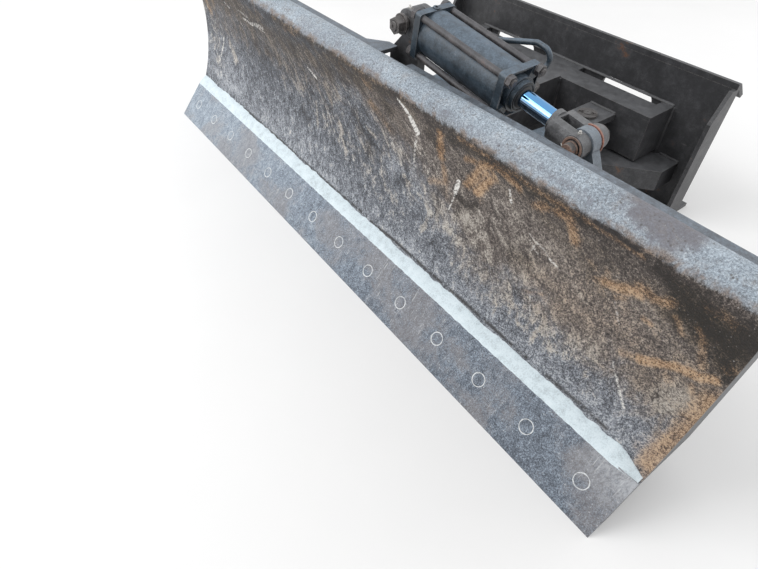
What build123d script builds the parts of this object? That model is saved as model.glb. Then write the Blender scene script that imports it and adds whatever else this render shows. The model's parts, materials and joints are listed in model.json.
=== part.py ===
# Six-way dozer blade attachment: a curved blade that tilts about a fore-and-aft trunnion and
# angles about an upright pin, carried by a push frame with a quick-attach plate.
# Millimetres. +X runs along the blade, +Y from the cutting edge back to the plate, +Z up.
import os
from math import atan2, cos, degrees, hypot, radians, sin, sqrt

from build123d import *

os.makedirs("parts", exist_ok=True)

# Blade
blade_width = 2134.0
sheet = 10.0
face_radius = 640.0
belly_z = 397.0
roll_start_z = 518.0
roll_radius = 44.0
roll_end_angle = 60.0
roll_mid_angle = 30.0
edge_width = 152.4
edge_thickness = 19.0
edge_slope = 47.7
backing_thickness = 20.0
backing_lift = 8.0
bolt_count = 14
bolt_radius = 9.5
bolt_head_radius = 16.5
bolt_head_depth = 9.0
nut_radius = 17.0
nut_height = 16.0
bolt_tail = 7.0
hole_play = 0.2

# Back of the blade
back_y = 287.0
rail_wall = 10.0
upper_rail_top = 548.0
upper_rail_bottom = 452.0
lower_rail_top = 178.0
lower_rail_bottom = 96.0
end_plate = 12.0
end_plate_reach = 40.0
end_plate_rise = 60.0
end_plate_toe = 12.0
rib_thickness = 12.0
rib_places = (-880.0, -690.0, -500.0, -310.0, 310.0, 430.0, 720.0, 890.0)
hub_web_x = 110.0
hub_web_thickness = 20.0
hub_plate_thickness = 20.0
hub_plate_corner = 60.0
hub_tube_start = 100.0
crown_end_x = 8.0
crown_back_y = 325.0
crown_back_length = 36.0

# Tilt trunnion
tilt_z = 250.0
trunnion_radius = 45.0
hub_wall = 30.0
running_gap = 0.3
shaft_play = 0.15
trunnion_start_y = 208.0

# Swing head and its upright pin
head_front_y = 317.5
head_thickness = 20.0
head_half_width = 150.0
head_bottom_z = 130.0
head_top_z = 400.0
arm_half_width = 262.0
arm_half_height = 62.0
head_foot_corner = (60.0, 40.0)
head_top_corner = (50.0, 60.0)
arm_step = 10.0
swing_y = 440.0
swing_pin_radius = 30.0
knuckle_radius = 68.0
knuckle_thickness = 25.0
knuckle_gap_half = 60.0
knuckle_root = 120.0
swing_pin_cap_radius = 46.0
swing_pin_cap = 12.0

# Tower that carries the tilt cylinder's base
tower_root_left = 70.0
tower_root_right = 110.0
tower_eye_radius = 32.0
tower_waist = 28.0
tower_waist_drop = 130.0
tower_flare = (36.0, 42.0)
tower_flank = (90.0, 96.0)
tower_rib_width = 16.0
tower_rib_height = 190.0
tower_rib_side = 16.0
pin_cap_clearance = 6.0

# Tilt cylinder, a square-capped one held by tie rods
ear_y = 350.0
ear_thickness = 25.0
ear_radius = 31.0
ear_shoulder = 8.0
ear_flare = (51.0, 45.0)
ear_foot_half = 96.0
ear_foot_lift = 70.0
ear_foot_drop = 116.0
bracket_half = 70.0
bracket_thickness = 16.0
tilt_base_x = 34.0
tilt_base_z = 621.0
tilt_rod_x = 590.0
tilt_rod_z = 541.5
tilt_cap_size = 114.0
tilt_cap_corner = 9.0
tilt_cap_length = 20.0
tilt_base_cap_x = 56.0
tilt_front_cap_x = 345.0
pocket_depth = 12.0
pocket_rim = 4.0
pocket_margin = 2.5
pocket_taper = 9.0
pocket_root = 30.0
boss_radius = 41.0
boss_length = 7.0
plug_radius = 9.0
plug_height = 3.0
plug_socket = 4.5
tilt_tube_radius = 55.5
tilt_bore_radius = 50.8
tie_rod_radius = 8.0
tie_rod_offset = 45.5
tie_nut_radius = 14.0
tie_nut_height = 14.0
tie_rod_tail = 5.0
gland_radius = 35.0
gland_length = 18.0
port_hex_radius = 13.0
port_hex_height = 14.0
port_stub_radius = 9.0
port_stub_height = 10.0
port_upper_z = 24.0
port_lower_z = -12.0
port_block_length = 34.0
port_block_depth = 28.0
port_block_height = 60.0
port_block_chamfer = 3.0
pipe_radius = 6.5
pipe_bend = 22.0
pipe_out = 40.0
pipe_rise = 40.0
pipe_fall_x = 46.0
pipe_low_x = 160.0
pipe_low_z = 10.0
tilt_rod_radius = 20.0
tilt_rod_start = 235.0
base_tang_radius = 32.0
base_tang = 17.0
clevis_start = 477.0
clevis_neck = 12.0
clevis_web = 6.0
clevis_radius = 27.0
clevis_half_height = 22.0
clevis_arm = 27.0
clevis_gap = 1.0
clevis_bore_seat = 19.0
clevis_bore_seat_depth = 4.0
pin_radius = 14.5
pin_overhang = 17.0
base_pin_overhang = 40.0
base_pin_tail = 9.0
base_nut_radius = 21.0
base_nut_depth = 20.0
base_washer_radius = 25.0
base_washer_depth = 6.0
pin_head = 9.0
pin_head_depth = 8.0
tilt_eye_play = 2.4
tilt_eye_offset = -0.1
tilt_eye_drop = 1.7

# Angle cylinders, one each side
angle_base_x = 260.0
base_lug_reach = 80.0
angle_rod_x = 200.0
angle_rod_y = 410.0
angle_tube_radius = 38.0
angle_bore_radius = 31.8
angle_tube_start = 56.0
angle_tube_back = 176.0
angle_gland_radius = 43.0
angle_gland_length = 24.0
angle_tube_end_wall = 16.0
angle_port_x = 24.0
angle_port_radius = 12.0
angle_port_height = 14.0
angle_rod_radius = 19.0
angle_rod_hidden = 93.0
angle_eye_radius = 34.0
angle_eye_half = 20.0
angle_pin_radius = 14.0
angle_eye_play = 10.4
angle_eye_offset_x = 9.7
angle_eye_offset_y = -1.5
lug_thickness = 20.0
lug_radius = 50.0
lug_gap = 1.0
keeper_radius = 43.0
keeper_thickness = 8.0
base_keeper_radius = 31.0

# Push frame and quick-attach plate
overall_length = 1150.0
plate_thickness = 12.0
plate_half_width = 565.0
plate_height = 432.0
attach_depth = 52.0
lip_drop = 36.0
lip_thickness = 12.0
plate_rib_depth = 60.0
plate_rib_toe = (30.0, 40.0)
plate_rib_top = (20.0, 90.0)
slot_length = 64.0
slot_width = 24.0
slot_x = 430.0
plate_window_x = 250.0
plate_window_half = 95.0
plate_window_low = 150.0
plate_window_high = 330.0
plate_window_corner = 28.0
spine_half_width = 75.0
spine_bottom = 172.0
spine_top = 328.0
spine_wall = 10.0
spine_start_y = 522.0
nose_half_width = 52.0
cross_depth = 90.0
cross_half_width = 420.0
cross_bottom = 176.0
cross_top = 324.0
strut_bottom = 96.0
strut_top = 166.0
strut_width = 92.0
strut_start = 120.0
strut_end_margin = 60.0
strut_end_width = 70.0
joiner_depth = 36.0
joiner_width = 40.0
keel_start = 110.0
keel_length = 120.0

# Worked out from the sizes above
slope = radians(edge_slope)
along = (cos(slope), sin(slope))
behind = (sin(slope), -cos(slope))
edge_corner = (edge_width * along[0] + edge_thickness * behind[0],
               edge_width * along[1] + edge_thickness * behind[1])
face_centre_y = edge_corner[0] - sqrt(face_radius**2 - (belly_z - edge_corner[1]) ** 2)
half_width = blade_width / 2
bolt_pitch = blade_width / bolt_count
head_back_y = head_front_y + head_thickness
hub_outer = trunnion_radius + hub_wall
ear_front_y = ear_y - ear_thickness / 2
ear_back_y = ear_y + ear_thickness / 2
tilt_run = hypot(tilt_rod_x - tilt_base_x, tilt_rod_z - tilt_base_z)
tilt_drop = degrees(atan2(tilt_base_z - tilt_rod_z, tilt_rod_x - tilt_base_x))
plate_back_y = overall_length - attach_depth
plate_front_y = plate_back_y - plate_thickness
cross_back_y = plate_front_y - joiner_depth
cross_front_y = cross_back_y - cross_depth
angle_base_y = cross_front_y - base_lug_reach
angle_run = hypot(angle_rod_x - angle_base_x, angle_rod_y - angle_base_y)
angle_tube_end = angle_run - angle_tube_back
angle_rod_start = angle_tube_end - angle_rod_hidden
cap_face = tilt_cap_size / 2
base_cap_mid = tilt_base_cap_x + tilt_cap_length / 2
front_cap_end = tilt_front_cap_x + tilt_cap_length
port_place = front_cap_end - port_hex_radius
lug_bottom = angle_eye_half + lug_gap
ear_foot_z = upper_rail_bottom - ear_foot_drop
fork_inner = ear_thickness / 2 + clevis_gap
fork_outer = fork_inner + clevis_arm
knuckle_top = tilt_z + knuckle_gap_half + knuckle_thickness
knuckle_low = tilt_z - knuckle_gap_half - knuckle_thickness
BASE = (Align.CENTER, Align.CENTER, Align.MIN)


def block(low, high):
    """A box between its lowest and its highest corner."""
    size = Vector(*high) - Vector(*low)
    return Pos(*low) * Box(size.X, size.Y, size.Z, align=(Align.MIN, Align.MIN, Align.MIN))


def bar(start, end, radius):
    """A round bar between two points."""
    run = Vector(*end) - Vector(*start)
    return Plane(origin=start, z_dir=run) * Cylinder(radius, run.length, align=BASE)


def plate_x(points, low, high):
    """A plate across the blade, from (y, z) corners."""
    outline = make_face(Polyline(*points, close=True))
    return extrude(Plane.YZ.offset(low) * outline, high - low)


def plate_y(points, low, high):
    """An upright plate facing the blade, from (x, z) corners."""
    outline = make_face(Polyline(*points, close=True))
    return extrude(Plane(origin=(0, high, 0), x_dir=(1, 0, 0), z_dir=(0, -1, 0)) * outline, high - low)


def plate_z(points, low, high):
    """A level plate, from (x, y) corners."""
    outline = make_face(Polyline(*points, close=True))
    return extrude(Plane.XY.offset(low) * outline, high - low)


def mirrored(shape):
    """The same shape on the other side of the blade's middle."""
    return mirror(shape, about=Plane.YZ)


def on_arc(radius, z):
    """The depth of an arc about the face's centre at height z."""
    return face_centre_y + sqrt(radius**2 - (z - belly_z) ** 2)


def sheet_foot():
    """Where the sheet's back meets the top of the backing bar."""
    y = edge_corner[0] - face_centre_y
    z = edge_corner[1] - belly_z
    toward = y * behind[0] + z * behind[1]
    step = -toward + sqrt(toward**2 - y**2 - z**2 + (face_radius + sheet) ** 2)
    return (edge_corner[0] + step * behind[0], edge_corner[1] + step * behind[1])


def roll_turn():
    """Where the roll starts, the face's slope there and the roll's centre."""
    turn = (on_arc(face_radius, roll_start_z), roll_start_z)
    normal = ((turn[0] - face_centre_y) / face_radius, (turn[1] - belly_z) / face_radius)
    return turn, normal, (turn[0] + roll_radius * normal[0], turn[1] + roll_radius * normal[1])


def make_moldboard():
    """The curved face, rolled back over the top."""
    start = edge_corner
    turn, normal, centre = roll_turn()
    end = (cos(radians(roll_end_angle)), sin(radians(roll_end_angle)))
    inner = roll_radius - sheet
    mid_z = (start[1] + turn[1]) / 2
    crest = (-sin(radians(roll_mid_angle)), cos(radians(roll_mid_angle)))
    outer_end = (centre[0] + roll_radius * end[0], centre[1] + roll_radius * end[1])
    inner_end = (centre[0] + inner * end[0], centre[1] + inner * end[1])
    back_turn = (turn[0] + sheet * normal[0], turn[1] + sheet * normal[1])
    foot = sheet_foot()
    outline = make_face([
        ThreePointArc(start, (on_arc(face_radius, mid_z), mid_z), turn),
        ThreePointArc(turn, (centre[0] + roll_radius * crest[0], centre[1] + roll_radius * crest[1]), outer_end),
        Line(outer_end, inner_end),
        ThreePointArc(inner_end, (centre[0] + inner * crest[0], centre[1] + inner * crest[1]), back_turn),
        ThreePointArc(back_turn, (on_arc(face_radius + sheet, mid_z), mid_z), foot),
        Line(foot, start),
    ])
    return extrude(Plane.YZ.offset(-half_width) * outline, blade_width)


moldboard = make_moldboard()


def fit_behind(shape):
    """What is left of a shape behind the curved sheet."""
    drum = Plane(origin=(0, face_centre_y, belly_z), z_dir=(1, 0, 0)) * Cylinder(face_radius + sheet, 2 * blade_width)
    centre = roll_turn()[2]
    front = centre[0] - roll_radius + sheet
    ahead = block((-blade_width, 0, roll_start_z), (blade_width, front, roll_start_z + 2 * roll_radius))
    return shape - drum - ahead - moldboard


def edge_point(run, depth):
    """A point run up the cutting edge's face and depth behind it."""
    return (run * along[0] + depth * behind[0], run * along[1] + depth * behind[1])


def ground_point(depth, z):
    """Where a line depth behind the cutting edge's face crosses height z."""
    return edge_point((z - depth * behind[1]) / along[1], depth)


def bolt_holes(radius, play, start, end):
    """Round cutters along the bolts, from one depth to another."""
    holes = []
    for place in range(bolt_count):
        x = (place - (bolt_count - 1) / 2) * bolt_pitch
        front = edge_point(edge_width / 2, start)
        back = edge_point(edge_width / 2, end)
        holes.append(bar((x, *front), (x, *back), radius + play))
    return holes


def make_cutting_edge():
    """The bolted wear edge, ground flat where it meets the floor."""
    outline = [(0, 0), edge_point(edge_width, 0), edge_corner, ground_point(edge_thickness, 0)]
    edge = plate_x(outline, -half_width, half_width)
    for hole in bolt_holes(bolt_radius, hole_play, -1, edge_thickness + 1):
        edge -= hole
    for seat in bolt_holes(bolt_head_radius, hole_play, -1, bolt_head_depth):
        edge -= seat
    return edge


def make_backing_bar():
    """The bar that the sheet is welded to and the edge is bolted to."""
    deep = edge_thickness + backing_thickness
    outline = [ground_point(edge_thickness, backing_lift), edge_corner,
               edge_point(edge_width, deep), ground_point(deep, backing_lift)]
    backing = plate_x(outline, -half_width, half_width)
    for hole in bolt_holes(bolt_radius, hole_play, edge_thickness - 1, deep + 1):
        backing -= hole
    return backing


def make_edge_bolts():
    """The plough bolts with their nuts."""
    deep = edge_thickness + backing_thickness
    heads = bolt_holes(bolt_head_radius, 0, 0, bolt_head_depth)
    shanks = bolt_holes(bolt_radius, 0, 0, deep + nut_height + bolt_tail)
    bolts = []
    for place in range(bolt_count):
        x = (place - (bolt_count - 1) / 2) * bolt_pitch
        seat = edge_point(edge_width / 2, deep)
        nut_plane = Plane(origin=(x, *seat), x_dir=(1, 0, 0), z_dir=(0, *behind))
        nut = nut_plane * extrude(RegularPolygon(nut_radius, 6), nut_height)
        bolts.append(heads[place] + shanks[place] + nut)
    return Compound(children=bolts)


def make_rail(low, high):
    """A three-sided rail closed by the sheet, left and right of the hub."""
    start = hub_web_x + hub_web_thickness / 2
    end = half_width - end_plate
    outer = block((start, 0, low), (end, back_y, high))
    inner = block((start, 0, low + rail_wall), (end, back_y - rail_wall, high - rail_wall))
    return fit_behind(outer - inner)


def make_ribs():
    """Upright ribs between the rails."""
    ribs = []
    for x in rib_places:
        slab = block((x - rib_thickness / 2, 0, lower_rail_top),
                     (x + rib_thickness / 2, back_y - rail_wall, upper_rail_bottom))
        ribs.append(fit_behind(slab))
    return Compound(children=ribs)


def make_end_plate():
    """The plate that closes the blade's right end."""
    foot = edge_point(edge_width, edge_thickness + backing_thickness)
    low = lower_rail_bottom
    front = foot[0] - end_plate_reach
    outline = [(foot[0], foot[1]), (front, foot[1] + end_plate_rise), (front, upper_rail_top),
               (back_y, upper_rail_top), (back_y, low), (foot[0] + end_plate_toe, foot[1])]
    plate = plate_x(outline, half_width - end_plate, half_width)
    return fit_behind(plate)


def make_hub_webs():
    """Two deep webs beside the trunnion's tube."""
    web = block((hub_web_x - hub_web_thickness / 2, 0, lower_rail_bottom),
                (hub_web_x + hub_web_thickness / 2, back_y, upper_rail_top))
    web = fit_behind(web)
    return Compound(children=[web, mirrored(web)])


def make_hub_plate():
    """The plate across the webs that holds the tube's back end."""
    reach = hub_web_x + hub_web_thickness / 2
    corner = hub_plate_corner
    low = tilt_z - hub_outer - corner
    high = tilt_z + hub_outer + corner
    outline = [(-reach, low + corner), (-reach + corner, low), (reach - corner, low), (reach, low + corner),
               (reach, high - corner), (reach - corner, high), (-reach + corner, high), (-reach, high - corner)]
    plate = plate_y(outline, back_y, back_y + hub_plate_thickness)
    return plate - bar((0, back_y - 1, tilt_z), (0, head_front_y, tilt_z), hub_outer)


def make_hub_tube():
    """The tube that turns on the head's trunnion."""
    end = head_front_y - running_gap
    tube = bar((0, hub_tube_start, tilt_z), (0, end, tilt_z), hub_outer)
    bore = bar((0, hub_tube_start, tilt_z), (0, end + 1, tilt_z), trunnion_radius + shaft_play)
    return fit_behind(tube - bore)


def make_crown_plate():
    """The cover over the left web, behind the roll."""
    web = hub_web_x - hub_web_thickness / 2
    outline = [(-web, 0), (-crown_end_x, 0), (-crown_end_x, crown_back_y),
               (-crown_end_x - crown_back_length, crown_back_y), (-web, back_y)]
    return fit_behind(plate_z(outline, upper_rail_top - rail_wall, upper_rail_top))


def make_tilt_ear():
    """The upright ear for the tilt cylinder's rod."""
    side = [(ear_foot_half, ear_foot_z), (ear_foot_half, ear_foot_z + ear_foot_lift),
            (ear_flare[0], tilt_rod_z - ear_flare[1]), (ear_radius, tilt_rod_z - ear_shoulder)]
    right = [(tilt_rod_x + x, z) for x, z in side]
    left = [(tilt_rod_x - x, z) for x, z in reversed(side)]
    ear = plate_y(right + left, ear_front_y, ear_back_y)
    ear += bar((tilt_rod_x, ear_front_y, tilt_rod_z), (tilt_rod_x, ear_back_y, tilt_rod_z), ear_radius)
    eye_x = tilt_rod_x + tilt_eye_offset
    eye_z = tilt_rod_z - tilt_eye_drop
    eye = bar((eye_x, ear_front_y - 1, eye_z), (eye_x, ear_back_y + 1, eye_z), pin_radius + tilt_eye_play)
    return ear - eye


def make_ear_brackets():
    """Two webs that carry the ear off the blade's back."""
    brackets = []
    for side in (-1, 1):
        x = tilt_rod_x + side * bracket_half - bracket_thickness / 2
        web = block((x, 0, ear_foot_z), (x + bracket_thickness, ear_front_y, upper_rail_bottom))
        brackets.append(fit_behind(web))
    return Compound(children=brackets)


def make_head_face():
    """The head's front plate, wide at the arms."""
    low = tilt_z - arm_half_height
    high = tilt_z + arm_half_height
    step = arm_half_width - head_half_width
    wide = head_half_width
    foot_x, foot_z = head_foot_corner
    top_x, top_z = head_top_corner
    right = [(wide - foot_x, head_bottom_z), (wide, head_bottom_z + foot_z), (wide, low - arm_step),
             (arm_half_width, low), (arm_half_width, high), (wide, high + arm_step),
             (wide, head_top_z - top_z), (wide - top_x, head_top_z)]
    left = [(-x, z) for x, z in reversed(right)]
    return plate_y(right + left, head_front_y, head_back_y)


def make_trunnion():
    """The stub that carries the blade."""
    return bar((0, trunnion_start_y, tilt_z), (0, head_front_y, tilt_z), trunnion_radius)


def make_knuckles():
    """The plates above and below the frame's nose."""
    root = knuckle_root
    outline = [(-root, head_back_y), (root, head_back_y), (knuckle_radius, swing_y), (-knuckle_radius, swing_y)]
    knuckles = []
    for low in (knuckle_low, tilt_z + knuckle_gap_half):
        high = low + knuckle_thickness
        knuckle = plate_z(outline, low, high) + bar((0, swing_y, low), (0, swing_y, high), knuckle_radius)
        knuckle -= bar((0, swing_y, low - 1), (0, swing_y, high + 1), swing_pin_radius + shaft_play)
        knuckles.append(knuckle)
    return Compound(children=knuckles)


def make_swing_pin():
    """The upright pin with its head and keeper."""
    low = knuckle_low
    high = knuckle_top
    pin = bar((0, swing_y, low - swing_pin_cap), (0, swing_y, high + swing_pin_cap), swing_pin_radius)
    pin += bar((0, swing_y, high), (0, swing_y, high + swing_pin_cap), swing_pin_cap_radius)
    pin += bar((0, swing_y, low - swing_pin_cap), (0, swing_y, low), swing_pin_cap_radius)
    return pin


def make_arm_lugs():
    """Upper and lower lugs for the right angle cylinder's rod."""
    x = angle_rod_x + angle_eye_offset_x
    y = angle_rod_y + angle_eye_offset_y
    lugs = []
    for low in (tilt_z - lug_bottom - lug_thickness, tilt_z + lug_bottom):
        high = low + lug_thickness
        lug = block((x - lug_radius, head_back_y, low), (x + lug_radius, y, high))
        lug += bar((x, y, low), (x, y, high), lug_radius)
        lug -= bar((x, y, low - 1), (x, y, high + 1), angle_pin_radius + angle_eye_play)
        lugs.append(lug)
    return Compound(children=lugs)


def make_tower():
    """The upright plate that holds the tilt cylinder's base pin."""
    x = tilt_base_x
    z = tilt_base_z
    outline = [(-tower_root_left, knuckle_top), (tower_root_right, knuckle_top),
               (x + tower_waist, z - tower_waist_drop), (x + tower_eye_radius, z),
               (x - tower_eye_radius, z), (x - tower_flare[0], z - tower_flare[1]),
               (x - tower_flank[0], z - tower_flank[1])]
    tower = plate_y(outline, head_back_y, head_back_y + ear_thickness)
    tower += bar((x, head_back_y, z), (x, head_back_y + ear_thickness, z), tower_eye_radius)
    return tower - bar((x, head_back_y - 1, z), (x, ear_back_y + 1, z), pin_radius + shaft_play)


def make_tower_rib():
    """The rib behind the tower, on the upper knuckle."""
    front = head_back_y + ear_thickness
    toe = swing_y - swing_pin_cap_radius - pin_cap_clearance
    outline = [(front, knuckle_top), (toe, knuckle_top), (front, knuckle_top + tower_rib_height)]
    side = tilt_base_x - tower_rib_side
    return plate_x(outline, side - tower_rib_width / 2, side + tower_rib_width / 2)


def make_tilt_base_pin():
    """The bolt through the tower and the cylinder's base, with its nut."""
    x, z = tilt_base_x, tilt_base_z
    front = ear_y - fork_inner - base_tang - base_pin_overhang
    back = ear_y + fork_inner + base_tang + base_pin_tail
    nut_back = front + base_nut_depth
    nut = extrude(Plane(origin=(x, nut_back, z), z_dir=(0, -1, 0)) * RegularPolygon(base_nut_radius, 6), base_nut_depth)
    washer = bar((x, nut_back, z), (x, nut_back + base_washer_depth, z), base_washer_radius)
    return bar((x, front, z), (x, back, z), pin_radius) + nut + washer


def cap_block(start):
    """A square cap with its tie rod holes."""
    half = tilt_cap_size / 2
    cap = block((start, -half, -half), (start + tilt_cap_length, half, half))
    cap = fillet(cap.edges().filter_by(Axis.X), tilt_cap_corner)
    for y in (-tie_rod_offset, tie_rod_offset):
        for z in (-tie_rod_offset, tie_rod_offset):
            cap -= bar((start - 1, y, z), (start + tilt_cap_length + 1, y, z), tie_rod_radius + hole_play)
    return cap


def make_base_cap():
    """The square cap at the base, with a socket plug in its top."""
    cap = cap_block(tilt_base_cap_x)
    cap += bar((base_cap_mid, 0, cap_face), (base_cap_mid, 0, cap_face + plug_height), plug_radius)
    socket = Pos(base_cap_mid, 0, cap_face) * RegularPolygon(plug_socket, 6)
    return cap - extrude(socket, plug_height + 1)


def hex_fitting(start, direction):
    """A hexagon fitting that stands on a face."""
    face = Plane(origin=start, z_dir=direction)
    return extrude(face * RegularPolygon(port_hex_radius, 6), port_hex_height)


def make_fittings():
    """The fittings on the front cap and the block on the base cap where both lines end."""
    out = (0, 1, 0)
    upper = hex_fitting((port_place, cap_face, port_upper_z), out)
    lower = hex_fitting((port_place, cap_face, port_lower_z), out)
    end = cap_face + port_hex_height
    lower += bar((port_place, end, port_lower_z), (port_place, end + port_stub_height, port_lower_z),
                 port_stub_radius)
    x = base_cap_mid - port_block_length / 2
    y = cap_face + port_block_depth / 2
    half = port_block_height / 2
    body = block((x, cap_face, -half), (x + port_block_length, cap_face + port_block_depth, half))
    body = chamfer(body.edges().filter_by(Axis.X), port_block_chamfer)
    for z in (-port_hex_radius, port_hex_radius + 1):
        body += bar((x - port_hex_height - port_stub_height, y, z), (x, y, z), port_stub_radius)
        body += hex_fitting((x, y, z), (-1, 0, 0))
    return Compound(children=[upper, lower, body])


def make_pipe():
    """The bent steel pipe from the front cap back to the port block."""
    out_y = cap_face + pipe_out
    end_x = base_cap_mid + port_block_length / 2
    end_y = cap_face + port_block_depth / 2
    high = port_upper_z + pipe_rise
    path = FilletPolyline(
        (port_place, cap_face + port_hex_height, port_upper_z),
        (port_place, out_y, port_upper_z),
        (port_place, out_y, high),
        (port_place - pipe_fall_x, out_y, high),
        (pipe_low_x, end_y, pipe_low_z),
        (end_x, end_y, pipe_low_z),
        radius=pipe_bend,
    )
    return sweep(Plane(origin=path @ 0, z_dir=path % 0) * Circle(pipe_radius), path)


def make_base_tangs():
    """Two tangs on the base cap, one each side of the tower."""
    tangs = []
    for low in (fork_inner, -fork_inner - base_tang):
        high = low + base_tang
        tang = block((0, low, -base_tang_radius), (tilt_base_cap_x, high, base_tang_radius))
        tang += bar((0, low, 0), (0, high, 0), base_tang_radius)
        tangs.append(tang - bar((0, low - 1, 0), (0, high + 1, 0), pin_radius + shaft_play))
    return Compound(children=tangs)


def make_front_cap():
    """The cast front cap, hollowed between its webs, with its boss and gland."""
    end = front_cap_end
    floor = end - pocket_depth
    wide = tie_rod_offset - tie_nut_radius - pocket_margin
    rim = cap_face - pocket_rim
    outline = Polyline((-wide, rim), (wide, rim), (wide - pocket_taper, pocket_root),
                       (pocket_taper - wide, pocket_root), close=True)
    pocket = extrude(Plane(origin=(floor, 0, 0), x_dir=(0, 1, 0), z_dir=(1, 0, 0)) * make_face(outline), pocket_depth)
    pocket -= bar((floor, 0, 0), (end, 0, 0), boss_radius)
    cap = cap_block(tilt_front_cap_x)
    for side in range(4):
        cap -= Rot(X=90 * side) * pocket
    cap += bar((end, 0, 0), (end + boss_length, 0, 0), boss_radius)
    cap += bar((end, 0, 0), (end + gland_length, 0, 0), gland_radius)
    return cap - bar((tilt_front_cap_x - 1, 0, 0), (end + gland_length + 1, 0, 0), tilt_rod_radius + shaft_play)


def make_tilt_tube():
    """The barrel between the caps."""
    start = tilt_base_cap_x + tilt_cap_length
    tube = bar((start, 0, 0), (tilt_front_cap_x, 0, 0), tilt_tube_radius)
    return tube - bar((start, 0, 0), (tilt_front_cap_x, 0, 0), tilt_bore_radius)


def make_tie_rods():
    """The four tie rods with a nut at each end."""
    start = tilt_base_cap_x - tie_nut_height
    end = front_cap_end
    rods = []
    for y in (-tie_rod_offset, tie_rod_offset):
        for z in (-tie_rod_offset, tie_rod_offset):
            rod = bar((start, y, z), (end + tie_nut_height + tie_rod_tail, y, z), tie_rod_radius)
            for seat in (start, end):
                face = Plane(origin=(seat, y, z), z_dir=(1, 0, 0)) * RegularPolygon(tie_nut_radius, 6)
                rod += extrude(face, tie_nut_height)
            rods.append(rod)
    return Compound(children=rods)


def make_tilt_rod():
    """The bright rod."""
    return bar((tilt_rod_start, 0, 0), (clevis_start, 0, 0), tilt_rod_radius)


def make_rod_clevis():
    """The forged fork on the rod's end, about its pin at the origin."""
    start = clevis_start - tilt_run
    shoulder = start + clevis_neck
    neck = bar((start, 0, 0), (shoulder, 0, 0), clevis_radius)
    fork = block((shoulder, -fork_outer, -clevis_half_height), (0, fork_outer, clevis_half_height))
    fork &= bar((start, 0, 0), (clevis_radius, 0, 0), hypot(fork_outer, clevis_half_height) - clevis_web)
    fork += bar((0, -fork_outer, 0), (0, fork_outer, 0), clevis_radius)
    slot_start = shoulder + clevis_web
    fork -= block((slot_start, -fork_inner, -clevis_radius - 1), (clevis_radius + 1, fork_inner, clevis_radius + 1))
    fork -= bar((0, -fork_outer - 1, 0), (0, fork_outer + 1, 0), pin_radius + shaft_play)
    fork -= bar((0, -fork_outer - 1, 0), (0, clevis_bore_seat_depth - fork_outer, 0), clevis_bore_seat)
    return neck + fork


def make_rod_pin():
    """The clevis pin with its head, about its middle."""
    pin = bar((0, -fork_outer - pin_overhang, 0), (0, fork_outer + pin_head_depth, 0), pin_radius)
    return pin + bar((0, fork_outer, 0), (0, fork_outer + pin_head_depth, 0), pin_radius + pin_head)


def make_angle_tube():
    """The barrel with its base eye, pin along Z at the origin."""
    tube = bar((angle_tube_start, 0, 0), (angle_tube_end, 0, 0), angle_tube_radius)
    tube -= bar((angle_tube_start + angle_tube_end_wall, 0, 0), (angle_tube_end, 0, 0), angle_bore_radius)
    eye = bar((0, 0, -angle_eye_half), (0, 0, angle_eye_half), angle_eye_radius)
    neck = block((0, -angle_eye_radius, -angle_eye_half), (angle_tube_start, angle_eye_radius, angle_eye_half))
    bore = bar((0, 0, -angle_eye_half - 1), (0, 0, angle_eye_half + 1), angle_pin_radius + shaft_play)
    port_x_place = angle_tube_start + angle_port_x
    port = bar((port_x_place, 0, angle_bore_radius), (port_x_place, 0, angle_tube_radius + angle_port_height),
               angle_port_radius)
    return tube + eye + neck + port - bore


def make_angle_gland():
    """The gland nut at the barrel's mouth."""
    gland = bar((angle_tube_end, 0, 0), (angle_tube_end + angle_gland_length, 0, 0), angle_gland_radius)
    return gland - bar((angle_tube_end, 0, 0), (angle_tube_end + angle_gland_length, 0, 0),
                       angle_rod_radius + shaft_play)


def make_angle_rod():
    """The bright rod up to its eye."""
    end = angle_run - angle_eye_radius
    return bar((angle_rod_start, 0, 0), (end, 0, 0), angle_rod_radius)


def make_angle_rod_eye():
    """The eye on the rod's end, about its pin at the origin."""
    eye = bar((0, 0, -angle_eye_half), (0, 0, angle_eye_half), angle_eye_radius)
    eye -= bar((0, 0, -angle_eye_half - 1), (0, 0, angle_eye_half + 1), angle_pin_radius + hole_play)
    return eye - bar((-angle_run, 0, 0), (-angle_eye_radius, 0, 0), angle_rod_radius)


def angle_pin(keeper):
    """A cylinder pin along Z with a keeper washer at each end."""
    seat = lug_bottom + lug_thickness + running_gap
    pin = bar((0, 0, -seat - keeper_thickness), (0, 0, seat + keeper_thickness), angle_pin_radius)
    pin += bar((0, 0, seat), (0, 0, seat + keeper_thickness), keeper)
    pin += bar((0, 0, -seat - keeper_thickness), (0, 0, -seat), keeper)
    return pin


def make_nose():
    """The upright tube that the swing pin passes through, with its neck."""
    low = tilt_z - knuckle_gap_half + running_gap
    high = tilt_z + knuckle_gap_half - running_gap
    nose = bar((0, swing_y, low), (0, swing_y, high), knuckle_radius)
    nose += block((-nose_half_width, swing_y, low), (nose_half_width, spine_start_y, high))
    return nose - bar((0, swing_y, low - 1), (0, swing_y, high + 1), swing_pin_radius + shaft_play)


def make_spine():
    """The box beam from the nose to the cross beam, with the keel that the struts meet."""
    outer = block((-spine_half_width, spine_start_y, spine_bottom), (spine_half_width, cross_front_y, spine_top))
    inner = block((-spine_half_width + spine_wall, spine_start_y + spine_wall, spine_bottom + spine_wall),
                  (spine_half_width - spine_wall, cross_front_y, spine_top - spine_wall))
    front = spine_start_y + keel_start
    keel = block((-spine_half_width, front, strut_bottom), (spine_half_width, front + keel_length, spine_bottom))
    return outer - inner + keel


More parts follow.
